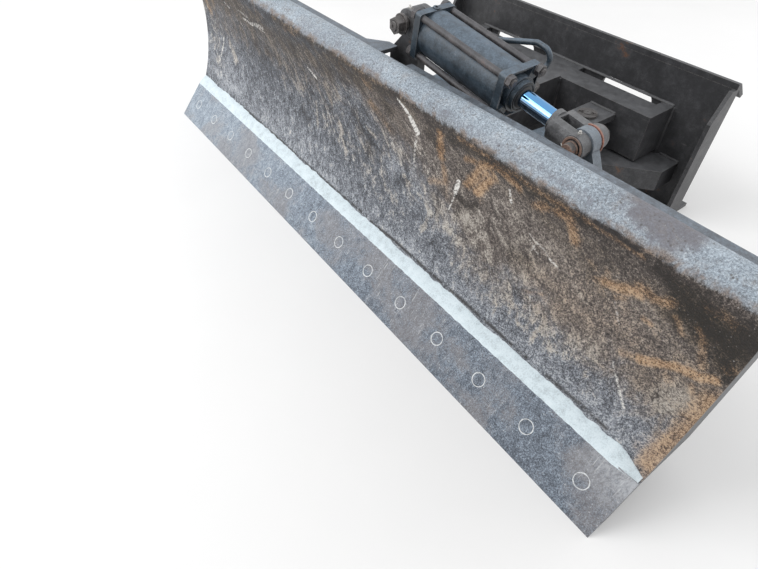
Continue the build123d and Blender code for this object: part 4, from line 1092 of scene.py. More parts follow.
@dataclass
class Moldboard:
    """The curved sheet with its roll, dented, pitted and stained, with painted shade under the roll and in
    creases.
    """

    paint: Paintbox
    half_width: float = 1.067
    sheet: float = 0.010
    radius: float = 0.640
    belly_z: float = 0.397
    roll_start_z: float = 0.518
    roll_radius: float = 0.044
    roll_end: float = 60.0
    edge_width: float = 0.1524
    edge_thickness: float = 0.019
    edge_slope: float = 47.7
    columns: int = 540
    rows: int = 160
    crowd: float = 0.33
    coarse: tuple[int, int] = (6, 4)
    dent: float = 0.0024
    nick: float = 0.0016
    chip: float = 0.0012
    bend: float = 14.0
    warp_pitch: float = 0.012
    warp_levels: tuple[float, float] = (4.4, 14.7)
    jag_pitch: float = 0.05
    jag_level: float = 9.0
    border: float = 527.0
    border_fade: float = 32.0
    border_sag: tuple[float, float] = (4.0, 9.0)
    sag_middle: float = 600.0
    sag_reach: float = 330.0

    def __post_init__(self) -> None:
        """Works out the sheet's section from its sizes."""
        slope = math.radians(self.edge_slope)
        self.foot_y = EDGE_Y + self.edge_width * math.cos(slope) + self.edge_thickness * math.sin(slope)
        self.foot_z = self.edge_width * math.sin(slope) - self.edge_thickness * math.cos(slope)
        self.centre_y = self.foot_y - math.sqrt(self.radius**2 - (self.belly_z - self.foot_z) ** 2)
        self.start = math.asin((self.foot_z - self.belly_z) / self.radius)
        self.turn = math.asin((self.roll_start_z - self.belly_z) / self.radius)
        self.face_run = self.radius * (self.turn - self.start)
        self.roll_turn = math.pi + self.turn - math.radians(self.roll_end)
        self.run = self.face_run + self.roll_radius * self.roll_turn
        far = self.radius + self.roll_radius
        self.roll_y = self.centre_y + far * math.cos(self.turn)
        self.roll_z = self.belly_z + far * math.sin(self.turn)

    def across(self, part: float) -> float:
        """The place along the blade of a column, closer together towards the near end."""
        return self.half_width * (2 * part * (1 + self.crowd * (1 - part)) - 1)

    def section(self, along: float, depth: float) -> tuple[float, float]:
        """A point of the sheet's section.

        Args:
            along: How far up the face, in metres of its front.
            depth: How far behind the front, in metres.

        Returns:
            Its y and z.
        """
        if along <= self.face_run:
            angle = self.start + along / self.radius
            reach = self.radius + depth
            return self.centre_y + reach * math.cos(angle), self.belly_z + reach * math.sin(angle)
        angle = math.pi + self.turn - (along - self.face_run) / self.roll_radius
        reach = self.roll_radius - depth
        return self.roll_y + reach * math.cos(angle), self.roll_z + reach * math.sin(angle)

    def face_y(self, z: float) -> float:
        """The depth of the face at a height below the roll."""
        return self.centre_y + math.sqrt(self.radius**2 - (z - self.belly_z) ** 2)

    def back_foot(self) -> float:
        """Where the back starts, at the backing bar.

        Returns:
            How far up the face that is, in metres.
        """
        slope = math.radians(self.edge_slope)
        behind = (math.sin(slope), -math.cos(slope))
        y, z = self.foot_y - self.centre_y, self.foot_z - self.belly_z
        toward = y * behind[0] + z * behind[1]
        step = -toward + math.sqrt(toward**2 - y**2 - z**2 + (self.radius + self.sheet) ** 2)
        angle = math.asin((z + step * behind[1]) / (self.radius + self.sheet))
        return (angle - self.start) * self.radius

    def hollow(self, x: float, along: float) -> float:
        """How far the worn face lies behind the new one.

        Args:
            x: The place along the blade, in metres.
            along: How far up the face, in metres.

        Returns:
            The depth in metres.
        """
        broad = noise.noise((x * 5.5, along * 7.0, 3.1)) + 0.5 * noise.noise((x * 15, along * 17, 8.2))
        deep = max(0.0, broad - 0.15)
        edge = min(1.0, (self.run - along) / 0.02, along / 0.03)
        side = min(1.0, (self.half_width - abs(x)) / 0.02)
        chip = max(0.0, noise.noise((x * 60, along * 60, 1.7)) - 0.35) * self.chip
        return max(0.0, min(edge, 1.0)) * (deep * self.dent * max(0.25, side) + chip)

    def grid(self) -> tuple[list, list, list]:
        """The sheet's points and faces, dense in front and coarse behind.

        Returns:
            The points, the faces, and each point's place (x, run) on the sheet.
        """
        points, places, faces = [], [], []
        wide, tall = self.columns, self.rows
        for row in range(tall + 1):
            along = self.run * row / tall
            for column in range(wide + 1):
                x = self.across(column / wide)
                y, z = self.section(along, self.hollow(x, along))
                nick = 0.0
                if column in (0, wide):
                    nick = self.nick * max(0.0, noise.noise((along * 40, x, 5.5))) * (-1 if x > 0 else 1)
                points.append((x + nick, y, z))
                places.append((x, along, 0.0))
        step_x, step_s = self.coarse
        back_wide, back_tall = wide // step_x, tall // step_s
        first_back = len(points)
        low = self.back_foot()
        for row in range(back_tall + 1):
            along = low + (self.run - low) * row / back_tall
            for column in range(back_wide + 1):
                x = self.across(column / back_wide)
                points.append((x, *self.section(along, self.sheet)))
                places.append((x, along, 0.01))

        def front(column: int, row: int) -> int:
            """The number of a point in front."""
            return row * (wide + 1) + column

        def back(column: int, row: int) -> int:
            """The number of a point behind."""
            return first_back + row * (back_wide + 1) + column

        for row in range(tall):
            for column in range(wide):
                faces.append((front(column, row), front(column + 1, row), front(column + 1, row + 1),
                              front(column, row + 1)))
        for row in range(back_tall):
            for column in range(back_wide):
                faces.append((back(column, row), back(column, row + 1), back(column + 1, row + 1),
                              back(column + 1, row)))
            for side, far in ((0, 0), (wide, back_wide)):
                strip = [front(side, row * step_s + step) for step in range(step_s + 1)]
                faces.append((*strip, back(far, row + 1), back(far, row)))
        for column in range(back_wide):
            for side, far in ((0, 0), (tall, back_tall)):
                strip = [front(column * step_x + step, side) for step in range(step_x + 1)]
                faces.append((*strip, back(column + 1, far), back(column, far)))
        return points, faces, places

    def amounts(self, places: np.ndarray) -> dict[str, np.ndarray]:
        """How much of each mark lies at each place.

        Args:
            places: The (x, run) places in metres, one row each.

        Returns:
            For each layer, three amounts a place.
        """
        layers = {mark.value[0]: np.zeros((len(places), 4), np.float32) for mark in Mark}
        x, along = places[:, 0] / MM, places[:, 1]
        angle = np.minimum(self.start + along / self.radius, self.turn)
        z = (self.belly_z + self.radius * np.sin(angle)) / MM
        z = z + np.maximum(0.0, along - self.face_run) / MM

        def wander(pitch: float, level: float) -> np.ndarray:
            """Soft noise over the sheet, with so many patches a millimetre."""
            return np.array([noise.noise((a * pitch, b * pitch, level)) for a, b in zip(x, z)])

        warp_x, warp_z = (wander(self.warp_pitch, level) for level in self.warp_levels)
        jag = wander(self.jag_pitch, self.jag_level)
        for stroke in STROKES:
            bend = min(self.bend, stroke.width * 0.5)
            far = stroke.far(x + bend * warp_x, z + bend * warp_z) * (1 + 0.35 * jag)
            if stroke.mark in (BARE, LINE):
                amount = stroke.strength * np.clip(1.4 - far, 0, 1)
            else:
                amount = stroke.strength * np.exp(-0.8 * far**2)
            layer, channel = stroke.mark.value
            layers[layer][:, channel] = np.maximum(layers[layer][:, channel], amount)
        least, more = self.border_sag
        sag = least + more * np.exp(-(((x - self.sag_middle) / self.sag_reach) ** 2))
        border = self.border - sag + 5 * jag + 3 * warp_z
        layers["zones"][:, 1] = np.clip((z - border) / self.border_fade, 0, 1)
        for layer in layers.values():
            layer[:, 3] = 1.0
        return layers

    def sheared(self, x: float, along: float) -> Point:
        """A place on the sheet, set so that the scouring lines, which lean over, run upright.

        Args:
            x: The place along the blade, in metres.
            along: How far up the face, in metres.

        Returns:
            The set place.
        """
        lean = min(1.0, max(0.0, (x + 1.0) / 0.35)) * (1.0 - 0.45 * min(1.0, max(0.0, (x - 0.2) / 0.8)))
        high = min(max(along, 0.0), self.face_run)
        return x + lean * (0.1 * high + 2.6 * high**3.0), along, 0.0

    def build(self) -> bpy.types.Object:
        """Builds the sheet in the place of the plain one.

        Returns:
            The new piece.
        """
        points, faces, places = self.grid()
        piece = add_piece("moldboard_worn", points, faces, "blade",
                          self.paint.get(Finishes.BLADE), 35)
        mesh = piece.data
        assert len(mesh.vertices) == len(places)
        mesh.materials.append(self.paint.get(Finishes.BACK))
        for face in mesh.polygons:
            face.material_index = int(all(places[corner][2] > 0 for corner in face.vertices))
        held = mesh.attributes.new("sheet_place", "FLOAT_VECTOR", "POINT")
        lines = [self.sheared(x, along) for x, along, _ in places]
        held.data.foreach_set("vector", np.array(lines, np.float32).ravel())
        for name, layer in self.amounts(np.array(places)).items():
            colours = mesh.color_attributes.new(name, "FLOAT_COLOR", "POINT")
            colours.data.foreach_set("color", layer.ravel())
        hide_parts("moldboard")
        return piece


@dataclass
class LedgeDust:
    """The pale dust packed on the ledge between the cutting edge and the sheet."""

    paint: Paintbox
    blade: Moldboard
    step: float = 0.006
    top_z: float = 0.1300
    higher_left: float = 0.0045
    overlap: float = 0.0065
    film: float = 0.0007
    ragged: float = 0.0065
    taper: float = 0.060
    rows: int = 7

    def profile(self, x: float) -> list[Point]:
        """The dust's outline at one place.

        Args:
            x: The place along the blade, in metres.

        Returns:
            The outline's points.
        """
        slope = math.radians(self.blade.edge_slope)
        along = Vector((math.cos(slope), math.sin(slope)))
        outward = Vector((-math.sin(slope), math.cos(slope)))
        lip = Vector((EDGE_Y, 0.0)) + along * self.blade.edge_width
        root = Vector((self.blade.foot_y, self.blade.foot_z))
        rough = noise.noise((x * 9, 2.0, 0.0)) + 0.6 * noise.noise((x * 42, 5.0, 0.0))
        rough += 0.3 * noise.noise((x * 110, 1, 0))
        fade = min(1.0, max(0.04, (self.blade.half_width - abs(x)) / self.taper)) if x > 0 else 1.0
        crest = self.top_z + self.higher_left * min(1.0, max(0.0, (0.1 - x) / 0.6)) + self.ragged * rough
        top_z = self.blade.foot_z + (crest - self.blade.foot_z) * (0.35 + 0.65 * fade)
        top = Vector((self.blade.face_y(top_z) - 0.0004, top_z))
        start = lip.lerp(root, 0.04 + 0.5 * (1 - fade) + 0.02 * noise.noise((x * 70, 0, 3)))
        lead = lip - along * self.overlap * fade * (1.0 + 0.25 * noise.noise((x * 60, 4, 1)))
        start = start.lerp(lip, fade) + outward * self.film * (0.4 + fade)
        line = [(x, *(lead + outward * self.film * 0.4))]
        for row in range(self.rows + 1):
            part = row / self.rows
            point = start.lerp(top, part)
            swell = 0.0016 * math.sin(math.pi * part) * fade
            grain = 0.0006 * noise.noise((x * 260, part * 14, 7.0)) if 0 < row < self.rows else 0.0
            line.append((x, point.x - (swell + grain) * 0.75, point.y + (swell + grain) * 0.66))
        back = Vector((self.blade.face_y(top_z) + 0.0012, top_z))
        line.append((x, back.x, back.y))
        line.append((x, root.x + 0.0008, root.y))
        line.append((x, *(lead - outward * self.film)))
        return line

    def build(self) -> bpy.types.Object:
        """Builds the strip of dust.

        Returns:
            The new piece.
        """
        half = self.blade.half_width - 0.003
        count = round(2 * half / self.step)
        sections = [self.profile(half * (2 * index / count - 1)) for index in range(count + 1)]
        points = [point for section in sections for point in section]
        size = len(sections[0])
        faces = [tuple(range(size)), tuple(range(count * size, (count + 1) * size))]
        for index in range(count):
            for side in range(size):
                after = (side + 1) % size
                faces.append((index * size + side, index * size + after, (index + 1) * size + after,
                              (index + 1) * size + side))
        return add_piece("ledge_dust", points, faces, "blade",
                         self.paint.get(Finishes.DUST), 60)


@dataclass
class BoltRings:
    """The thin pale rings of dust round the fourteen flush bolt heads."""

    paint: Paintbox
    blade: Moldboard
    count: int = 14
    radius: float = 0.0168
    width: float = 0.0036
    rise: float = 0.0006
    steps: int = 56
    profile: tuple[tuple[float, float], ...] = (
        (-0.5, -0.6), (-0.35, 0.7), (0.0, 1.0), (0.35, 0.7), (0.5, -0.6))

    def build(self) -> bpy.types.Object:
        """Builds all the rings as one piece.

        Returns:
            The new piece.
        """
        size = len(self.profile)
        slope = math.radians(self.blade.edge_slope)
        up = Vector((0, math.cos(slope), math.sin(slope)))
        out = Vector((0, -math.sin(slope), math.cos(slope)))
        pitch = 2 * self.blade.half_width / self.count
        draw = random.Random(14)
        points, faces = [], []
        for place in range(self.count):
            x = (place - (self.count - 1) / 2) * pitch
            middle = Vector((x, EDGE_Y, 0)) + up * (self.blade.edge_width / 2)
            first = len(points)
            seed = draw.uniform(0, 50)
            for step in range(self.steps):
                turn = 2 * math.pi * step / self.steps
                x_part, z_part = math.cos(turn), math.sin(turn)
                spoke = RIGHT * x_part + up * z_part
                thick = self.width * (0.75 + 0.5 * noise.noise((x_part * 2, z_part * 2, seed)))
                ring = self.radius + 0.0004 * noise.noise((x_part * 3, z_part * 3, seed + 9))
                for part, lift in self.profile:
                    points.append(middle + spoke * (ring + part * thick) + out * (lift * self.rise))
            for step in range(self.steps):
                here, there = first + step * size, first + (step + 1) % self.steps * size
                for side in range(size):
                    after = (side + 1) % size
                    faces.append((here + side, here + after, there + after, there + side))
        return add_piece("bolt_dust_rings", points, faces, "blade",
                         self.paint.get(Finishes.RING), 60)


# The cylinders
def thread(even: float, odd: float, start: float, pitch: float) -> list[tuple[float, float]]:
    """Five rows of thread, as (radius, height) pairs for a turned solid, crest and root in turn."""
    return [(odd if row % 2 else even, start + pitch * row) for row in range(5)]


def smoothed(corners: list[Vector], rounds: int) -> list[Vector]:
    """Cuts the corners off a path, so that it bends softly.

    Args:
        corners: The path's corners.
        rounds: How often they are cut.

    Returns:
        The softened path.
    """
    for _ in range(rounds):
        cut = [corners[0]]
        for start, end in zip(corners, corners[1:]):
            cut += [start.lerp(end, 0.25), start.lerp(end, 0.75)]
        corners = cut + [corners[-1]]
    return corners


@dataclass
class TiltCylinderTrim:
    """The tie rods with their nuts and washers, the wiper, and the small parts on the pins."""

    paint: Paintbox
    base: Point = (34.0, 350.0, 621.0)
    rod_end: Point = (590.0, 350.0, 541.5)
    offset: float = 45.5
    rod_radius: float = 8.0
    nut_flat: float = 12.0
    nut_height: float = 11.6
    washer: float = 2.4
    rear_face: float = 56.0
    front_face: float = 365.0
    tail: float = 5.0
    gland_face: float = 383.0
    piston_rod: float = 20.3
    fork_half: float = 40.5
    pin_reach: float = 17.0
    clip_reach: float = 13.2
    base_pin_front: float = 279.5
    ring_back: float = 14.2
    ring_start: float = -122.0
    ring_sweep: float = 244.0

    def __post_init__(self) -> None:
        """Works out the cylinder's own directions."""
        self.start = spot(*self.base)
        self.along = (spot(*self.rod_end) - self.start).normalized()
        self.side = Vector((0, 1, 0))
        self.up = self.along.cross(self.side) * -1
        if self.up.z < 0:
            self.up.negate()

    def at(self, run: float, side: float, up: float) -> Vector:
        """A place in the cylinder's own frame, in millimetres from its base pin."""
        return self.start + (self.along * run + self.side * side + self.up * up) * MM

    def tie_rods(self) -> bpy.types.Object:
        """The four tie rods with threads, washers and nuts, in place of the plain ones.

        Returns:
            The new piece.
        """
        shape = Shape()
        radius = self.rod_radius
        edge = self.nut_flat + 1.7
        low = self.rear_face - self.washer - self.nut_height - self.tail
        high = self.front_face + self.washer + self.nut_height + self.tail
        rod = [(radius - 1.6, 0.0), (radius - 0.4, 1.0), *thread(radius - 0.1, radius - 0.9, 1.2, 0.75),
               (radius - 0.1, self.tail + 1.0), (radius - 0.1, 24.0), (radius, 26.0)]
        rod += [(width, high - low - height) for width, height in reversed(rod)]
        washer = ((radius, 0.0), (edge - 0.4, 0.0), (edge, 0.5), (edge, self.washer - 0.5),
                  (edge - 0.5, self.washer), (radius, self.washer))
        draw = random.Random(4)
        for side in (-self.offset, self.offset):
            for up in (-self.offset, self.offset):
                shape.turned(self.at(low, side, up), self.along, tuple(rod), 24)
                for face, way in ((self.rear_face, -1), (self.front_face, 1)):
                    seat, axis = self.at(face, side, up), self.along * way
                    shape.turned(seat, axis, washer, 32, True)
                    turn = draw.uniform(0, math.pi / 3)
                    corner = self.side * math.cos(turn) + self.up * math.sin(turn)
                    shape.nut(seat + axis * self.washer * MM, axis, corner, self.nut_flat, self.nut_height)
        piece = shape.make("tilt_tie_rods_worn", "tilt_barrel", "cylinder_black",
                           self.paint.get(Finishes.TIE_ROD), 30)
        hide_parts("tilt_tie_rods")
        return piece

    def wiper(self) -> bpy.types.Object:
        """The wiper's lip and its retaining ring at the gland.

        Returns:
            The new piece.
        """
        shape = Shape()
        seat = self.at(self.gland_face, 0, 0)
        rod = self.piston_rod
        shape.turned(seat, self.along, ((rod, -0.4), (rod + 5.2, -0.4), (rod + 5.0, 1.6), (rod + 1.8, 4.4),
                                        (rod + 0.3, 4.8)), 48, True)
        shape.turned(seat, self.along, ((28.6, -0.4), (32.2, -0.4), (32.2, 1.2), (31.6, 1.8), (29.2, 1.8),
                                        (28.6, 1.2)), 48, True)
        return shape.make("tilt_wiper", "tilt_barrel", "cylinder_black", self.paint.get(Finishes.RUBBER))

    def pin_front(self) -> bpy.types.Object:
        """The rusty bush and the drilled end round the rod pin's front.

        Returns:
            The new piece.
        """
        shape = Shape()
        eye = spot(self.rod_end[0], self.rod_end[1] - self.fork_half, self.rod_end[2])
        shape.turned(eye, FRONT, ((19.2, -3.8), (24.6, -0.3), (24.6, 0.7), (23.8, 1.4), (20.4, 1.4),
                                  (19.2, 0.6)), 48, True)
        shape.turned(eye + FRONT * self.pin_reach * MM, FRONT,
                     ((14.3, -0.3), (13.4, 1.2), (6.0, 1.2), (5.4, 0.2), (0.0, 0.2)), 40)
        shape.turned(eye, FRONT, ((14.7, 2.0), (16.6, 2.0), (16.6, 4.6), (14.7, 4.6)), 40, True)
        return shape.make("rod_pin_front", "tilt_piston", "pin_steel", self.paint.get(Finishes.BUSH))

    def pin_clip(self) -> bpy.types.Object:
        """The bright wire clip through the rod pin's end.

        Returns:
            The new piece.
        """
        shape = Shape()
        middle = spot(self.rod_end[0], self.rod_end[1] - self.fork_half - self.clip_reach, self.rod_end[2])
        route = [(-19, 7, -1), (-16, 3, 0), (-8, 1, 0), (8, -3, 0), (17, -6, 0), (22, -10, 1), (20, -19, 2),
                 (10, -24, 2.5), (-2, -23, 2.5), (-13, -17, 2), (-19, -8, 1)]
        corners = [middle + (RIGHT * x + UP * z + FRONT * y) * MM for x, z, y in route]
        shape.tube(smoothed(corners, 3), 1.35, 10)
        return shape.make("rod_pin_clip", "tilt_piston", "pin_steel", self.paint.get(Finishes.WIRE))

    def ear_ring(self) -> bpy.types.Object:
        """The rusty open ring that stands round the fork's rear arm, behind the ear.

        Returns:
            The new piece.
        """
        shape = Shape()
        eye = spot(self.rod_end[0], self.rod_end[1] + self.ring_back, self.rod_end[2])
        rows = []
        for step in range(49):
            turn = math.radians(self.ring_start + self.ring_sweep * step / 48)
            spoke = self.along * math.cos(turn) + self.up * math.sin(turn)
            rows.append([eye + (spoke * reach + self.side * depth) * MM for reach, depth in
                         ((27.2, 0.0), (32.6, 0.0), (33.4, 0.9), (33.4, 2.9), (32.6, 3.8), (27.2, 3.8))])
        shape.skin(rows)
        return shape.make("ear_ring", "tilt_piston", "pin_steel", self.paint.get(Finishes.RED_RUST))

    def base_pin_end(self) -> bpy.types.Object:
        """The threaded end that stands out of the base pin's nut.

        Returns:
            The new piece.
        """
        shape = Shape()
        end = spot(self.base[0], self.base_pin_front, self.base[2])
        shape.turned(end, FRONT, ((11.5, -2.0), *thread(10.6, 11.4, 0.4, 0.8), (10.4, 4.4), (4.6, 4.6),
                                  (4.2, 1.0), (0.0, 0.6)), 40)
        shape.turned(end, FRONT, ((14.0, -0.3), (17.4, -0.3), (17.2, 0.5), (14.2, 0.5)), 48, True)
        return shape.make("base_pin_end", "swing_head", "pin_steel", self.paint.get(Finishes.PIN))

    def build(self) -> list[bpy.types.Object]:
        """Builds every small part of the tilt cylinder."""
        return [self.tie_rods(), self.wiper(), self.pin_front(), self.pin_clip(), self.ear_ring(),
                self.base_pin_end()]


@dataclass
class AngleCylinderTrim:
    """The wipers, port plugs and keeper bolts of the two angle cylinders."""

    paint: Paintbox
    base: Point = (260.0, 880.0, 250.0)
    rod_end: Point = (200.0, 410.0, 250.0)
    gland_face: float = 321.8
    piston_rod: float = 19.3
    port_run: float = 80.0
    port_top: float = 302.0
    keeper_top: float = 299.3
    keeper_turn: float = 0.5
    base_reach: float = 20.5
    eye_reach: float = 30.0
    bolt_flat: float = 6.5
    bolt_height: float = 5.0

    def barrel(self, side: int, name: str) -> bpy.types.Object:
        """The wiper's lip, the gland's ring and the port's plug on one barrel.

        Args:
            side: -1 for the left barrel, 1 for the right one.
            name: That side's name.

        Returns:
            The new piece.
        """
        shape = Shape()
        base = spot(side * self.base[0], self.base[1], self.base[2])
        along = (spot(side * self.rod_end[0], self.rod_end[1], self.rod_end[2]) - base).normalized()
        seat = base + along * self.gland_face * MM
        rod = self.piston_rod
        shape.turned(seat, along, ((rod, -0.4), (rod + 5.0, -0.4), (rod + 4.8, 1.6), (rod + 1.6, 4.0),
                                   (rod + 0.3, 4.2)), 40, True)
        shape.turned(seat, along, ((31.0, -0.4), (35.0, -0.4), (35.0, 1.4), (31.0, 1.4)), 40, True)
        port = base + along * self.port_run * MM
        port.z = self.port_top * MM
        shape.nut(port, UP, along, 9.5, 7.0)
        shape.turned(port, UP, ((6.5, 6.5), (6.5, 9.5), (5.5, 10.4), (0.0, 10.6)), 28)
        return shape.make(f"angle_barrel_trim_{name}", f"angle_barrel_{name}", "cylinder_black",
                          self.paint.get(Finishes.CYLINDER))

    def keepers(self, side: int, place: Point, reach: float, label: str, body: str) -> bpy.types.Object:
        """Two bolts and a raised rim on each of one pin's keepers.

        Args:
            side: -1 for the left cylinder, 1 for the right one.
            place: The middle of the right cylinder's pin, in millimetres.
            reach: How far the bolts stand from the pin's middle, in millimetres.
            label: What the piece is named after.
            body: The body that it rides on.

        Returns:
            The new piece.
        """
        shape = Shape()
        level = place[2]
        for way in (-1, 1):
            axis = UP * way
            top = spot(side * place[0], place[1], level + way * (self.keeper_top - level))
            for turn in (side * self.keeper_turn, side * self.keeper_turn + math.pi):
                across = Vector((math.cos(turn), math.sin(turn), 0))
                seat = top + across * reach * MM
                shape.turned(seat, axis, ((0.0, -0.2), (8.4, -0.2), (8.4, 1.0), (8.0, 1.4), (0.0, 1.4)), 28)
                shape.nut(seat + axis * 1.3 * MM, axis, across.cross(axis), self.bolt_flat, self.bolt_height)
            shape.turned(top, axis, ((0.0, -0.2), (14.0, -0.2), (14.0, 1.6), (12.8, 2.6), (3.4, 2.6),
                                     (3.0, 1.2), (0.0, 1.2)), 36)
        return shape.make(f"keeper_bolts_{label}", body, "pin_steel", self.paint.get(Finishes.PIN))

    def build(self) -> list[bpy.types.Object]:
        """Builds the small parts of both angle cylinders.

        Returns:
            The new pieces.
        """
        made = []
        for side, name in ((-1, "left"), (1, "right")):
            piston = f"angle_piston_{name}"
            made.append(self.barrel(side, name))
            made.append(self.keepers(side, self.rod_end, self.eye_reach, piston, piston))
            made.append(self.keepers(side, self.base, self.base_reach, f"push_frame_{name}", "push_frame"))
        return made


@dataclass
class GreaseNipples:
    """The small grease nipples at the pins."""

    paint: Paintbox
    places: tuple[tuple[str, Point, Point], ...] = (
        ("tilt_barrel", (34, 328, 652.6), (0, 0, 1)), ("tilt_piston", (590, 323, 568.2), (0, 0, 1)),
        ("blade", (0, 262, 324.6), (0, 0, 1)), ("angle_piston_right", (233.6, 410, 250), (1, 0, 0)),
        ("angle_piston_left", (-233.6, 410, 250), (-1, 0, 0)))

    def build(self) -> list[bpy.types.Object]:
        """Builds the nipples, a hex foot, a neck and a ball each.

        Returns:
            The new pieces.
        """
        made = []
        for body, place, way in self.places:
            shape, base, axis = Shape(), spot(*place), Vector(way)
            shape.nut(base, axis, axis.orthogonal(), 4.0, 3.4)
            shape.turned(base, axis, ((2.6, 3.2), (2.2, 4.4), (1.9, 5.2), (2.9, 6.2), (3.1, 7.0), (2.5, 8.0),
                                      (1.2, 8.5), (0.0, 8.5)), 20)
            made.append(shape.make(f"grease_nipple_{body}", body, "pin_steel", self.paint.get(Finishes.WIRE)))
        return made


# Welds
@dataclass(frozen=True)
class Seam:
    """A weld: its line in millimetres, the ways that its two legs run, and its size."""

    line: tuple[Point, ...]
    first: Point
    second: Point
    size: float = 5.0


@dataclass
class Welds:
    """The rippled beads along the joints of the blade, the head and the frame."""

    paint: Paintbox
    sheet: Moldboard
    rails: tuple[float, float] = (120.0, 1055.0)
    upper: float = 452.0
    lower: float = 178.0
    back: float = 287.0
    rib_back: float = 277.0
    rib_half: float = 6.0
    ribs: tuple[float, ...] = (-880.0, -690.0, -500.0, -310.0, 310.0, 430.0, 720.0, 890.0)
    bracket_edges: tuple[float, ...] = (512.0, 528.0, 652.0, 668.0)
    bracket_foot: float = 336.0
    ear_front: float = 337.5
    head_back: float = 337.5
    tower_back: float = 362.5
    hub_back: float = 307.0
    hub_radius: float = 75.0
    level: float = 250.0
    beam_back: float = 960.0
    nose_back: float = 522.0
    plate_front: float = 1086.0
    lug_legs: tuple[tuple[float, int], ...] = ((209.0, -1), (229.0, 1), (271.0, -1), (291.0, 1))

    def behind(self, z: float) -> float:
        """Where the sheet's back lies.

        Args:
            z: The height in millimetres.

        Returns:
            How far behind the cutting edge, in millimetres.
        """
        far = self.sheet.radius + self.sheet.sheet
        y = self.sheet.centre_y + math.sqrt(far**2 - (z * MM - self.sheet.belly_z) ** 2)
        return (y - EDGE_Y) / MM

    def rise(self, x: float, low: float, high: float) -> tuple[Point, ...]:
        """A line up the sheet's back.

        Args:
            x: The place along the blade, in millimetres.
            low: Where the line starts.
            high: Where it ends.

        Returns:
            The line's points.
        """
        count = 14
        heights = [low + (high - low) * step / count for step in range(count + 1)]
        return tuple((x, self.behind(z), z) for z in heights)

    def rail_seams(self) -> list[Seam]:
        """The seams of the rails and end plates.

        Returns:
            The seams.
        """
        seams = []
        start, end = self.rails
        for side in (-1, 1):
            for z, leg in ((self.upper, -1), (self.lower, 1)):
                y = self.behind(z)
                seams += [Seam(((side * start, y, z), (side * end, y, z)), (0, 1, 0), (0, 0.15, leg), 5.5),
                          Seam(((side * end, y, z), (side * end, self.back, z)), (0, 0, leg), (-side, 0, 0))]
            seams.append(Seam(self.rise(side * end, self.lower, self.upper), (0, 1, 0), (-side, 0, 0)))
        return seams

    def rib_seams(self) -> list[Seam]:
        """The seams of the ribs and the ear's brackets.

        Returns:
            The seams.
        """
        seams = []
        edges = [(rib + way * self.rib_half, way, self.rib_back, self.lower)
                 for rib in self.ribs for way in (-1, 1)]
        edges += [(x, 1 if index % 2 else -1, self.back, self.bracket_foot)
                  for index, x in enumerate(self.bracket_edges)]
        for x, way, reach, low in edges:
            side = (way, 0, 0)
            top = ((x, self.behind(self.upper), self.upper), (x, reach, self.upper))
            seams.append(Seam(self.rise(x, low, self.upper), (0, 1, 0), side, 4.5))
            seams.append(Seam(top, (0, 0, -1), side, 4.5))
            if low == self.lower:
                seams.append(Seam(((x, self.behind(low), low), (x, reach, low)), (0, 0, 1), side, 4.5))
            else:
                face = ((x, self.ear_front, low + 2), (x, self.ear_front, self.upper - 2))
                seams.append(Seam(face, (0, -1, 0), side, 4.5))
        return seams

    def hub_seams(self) -> list[Seam]:
        """The seam round the hub, in short runs.

        Returns:
            The seams.
        """
        seams = []
        circle = []
        for step in range(49):
            turn = step * math.pi / 24
            circle.append((self.hub_radius * math.cos(turn), self.hub_back,
                           self.level + self.hub_radius * math.sin(turn)))
        for start, end in zip(circle, circle[1:]):
            middle = Vector(((start[0] + end[0]) / 2, 0, (start[2] + end[2]) / 2 - self.level)).normalized()
            seams.append(Seam((start, end), (middle.x, 0, middle.z), (0, 1, 0), 4.0))
        return seams

    def head_seams(self) -> list[Seam]:
        """The seams of knuckles, lugs, tower and rib on the head's back.

        Returns:
            The seams.
        """
        seams = []
        back, tower = self.head_back, self.tower_back
        for z, leg in ((165.0, -1), (190.0, 1), (310.0, -1), (335.0, 1)):
            ends = ((-120.0, -72.0), (112.0, 120.0)) if z == 335.0 else ((-120.0, 120.0),)
            for start, end in ends:
                seams.append(Seam(((start, back, z), (end, back, z)), (0, 1, 0), (0, 0, leg), 6.0))
        for side in (-1, 1):
            for z, leg in self.lug_legs:
                ends = ((side * 160.0, back, z), (side * 259.0, back, z))
                seams.append(Seam(ends, (0, 1, 0), (0, 0, leg), 5.0))
        seams.append(Seam(((-68.0, tower, 335.0), (108.0, tower, 335.0)), (0, 0, 1), (0, 1, 0), 6.0))
        for x, way in ((10.0, -1), (26.0, 1)):
            seams.append(Seam(((x, tower, 337.0), (x, tower, 520.0)), (0, 1, 0), (way, 0, 0), 4.5))
        return seams

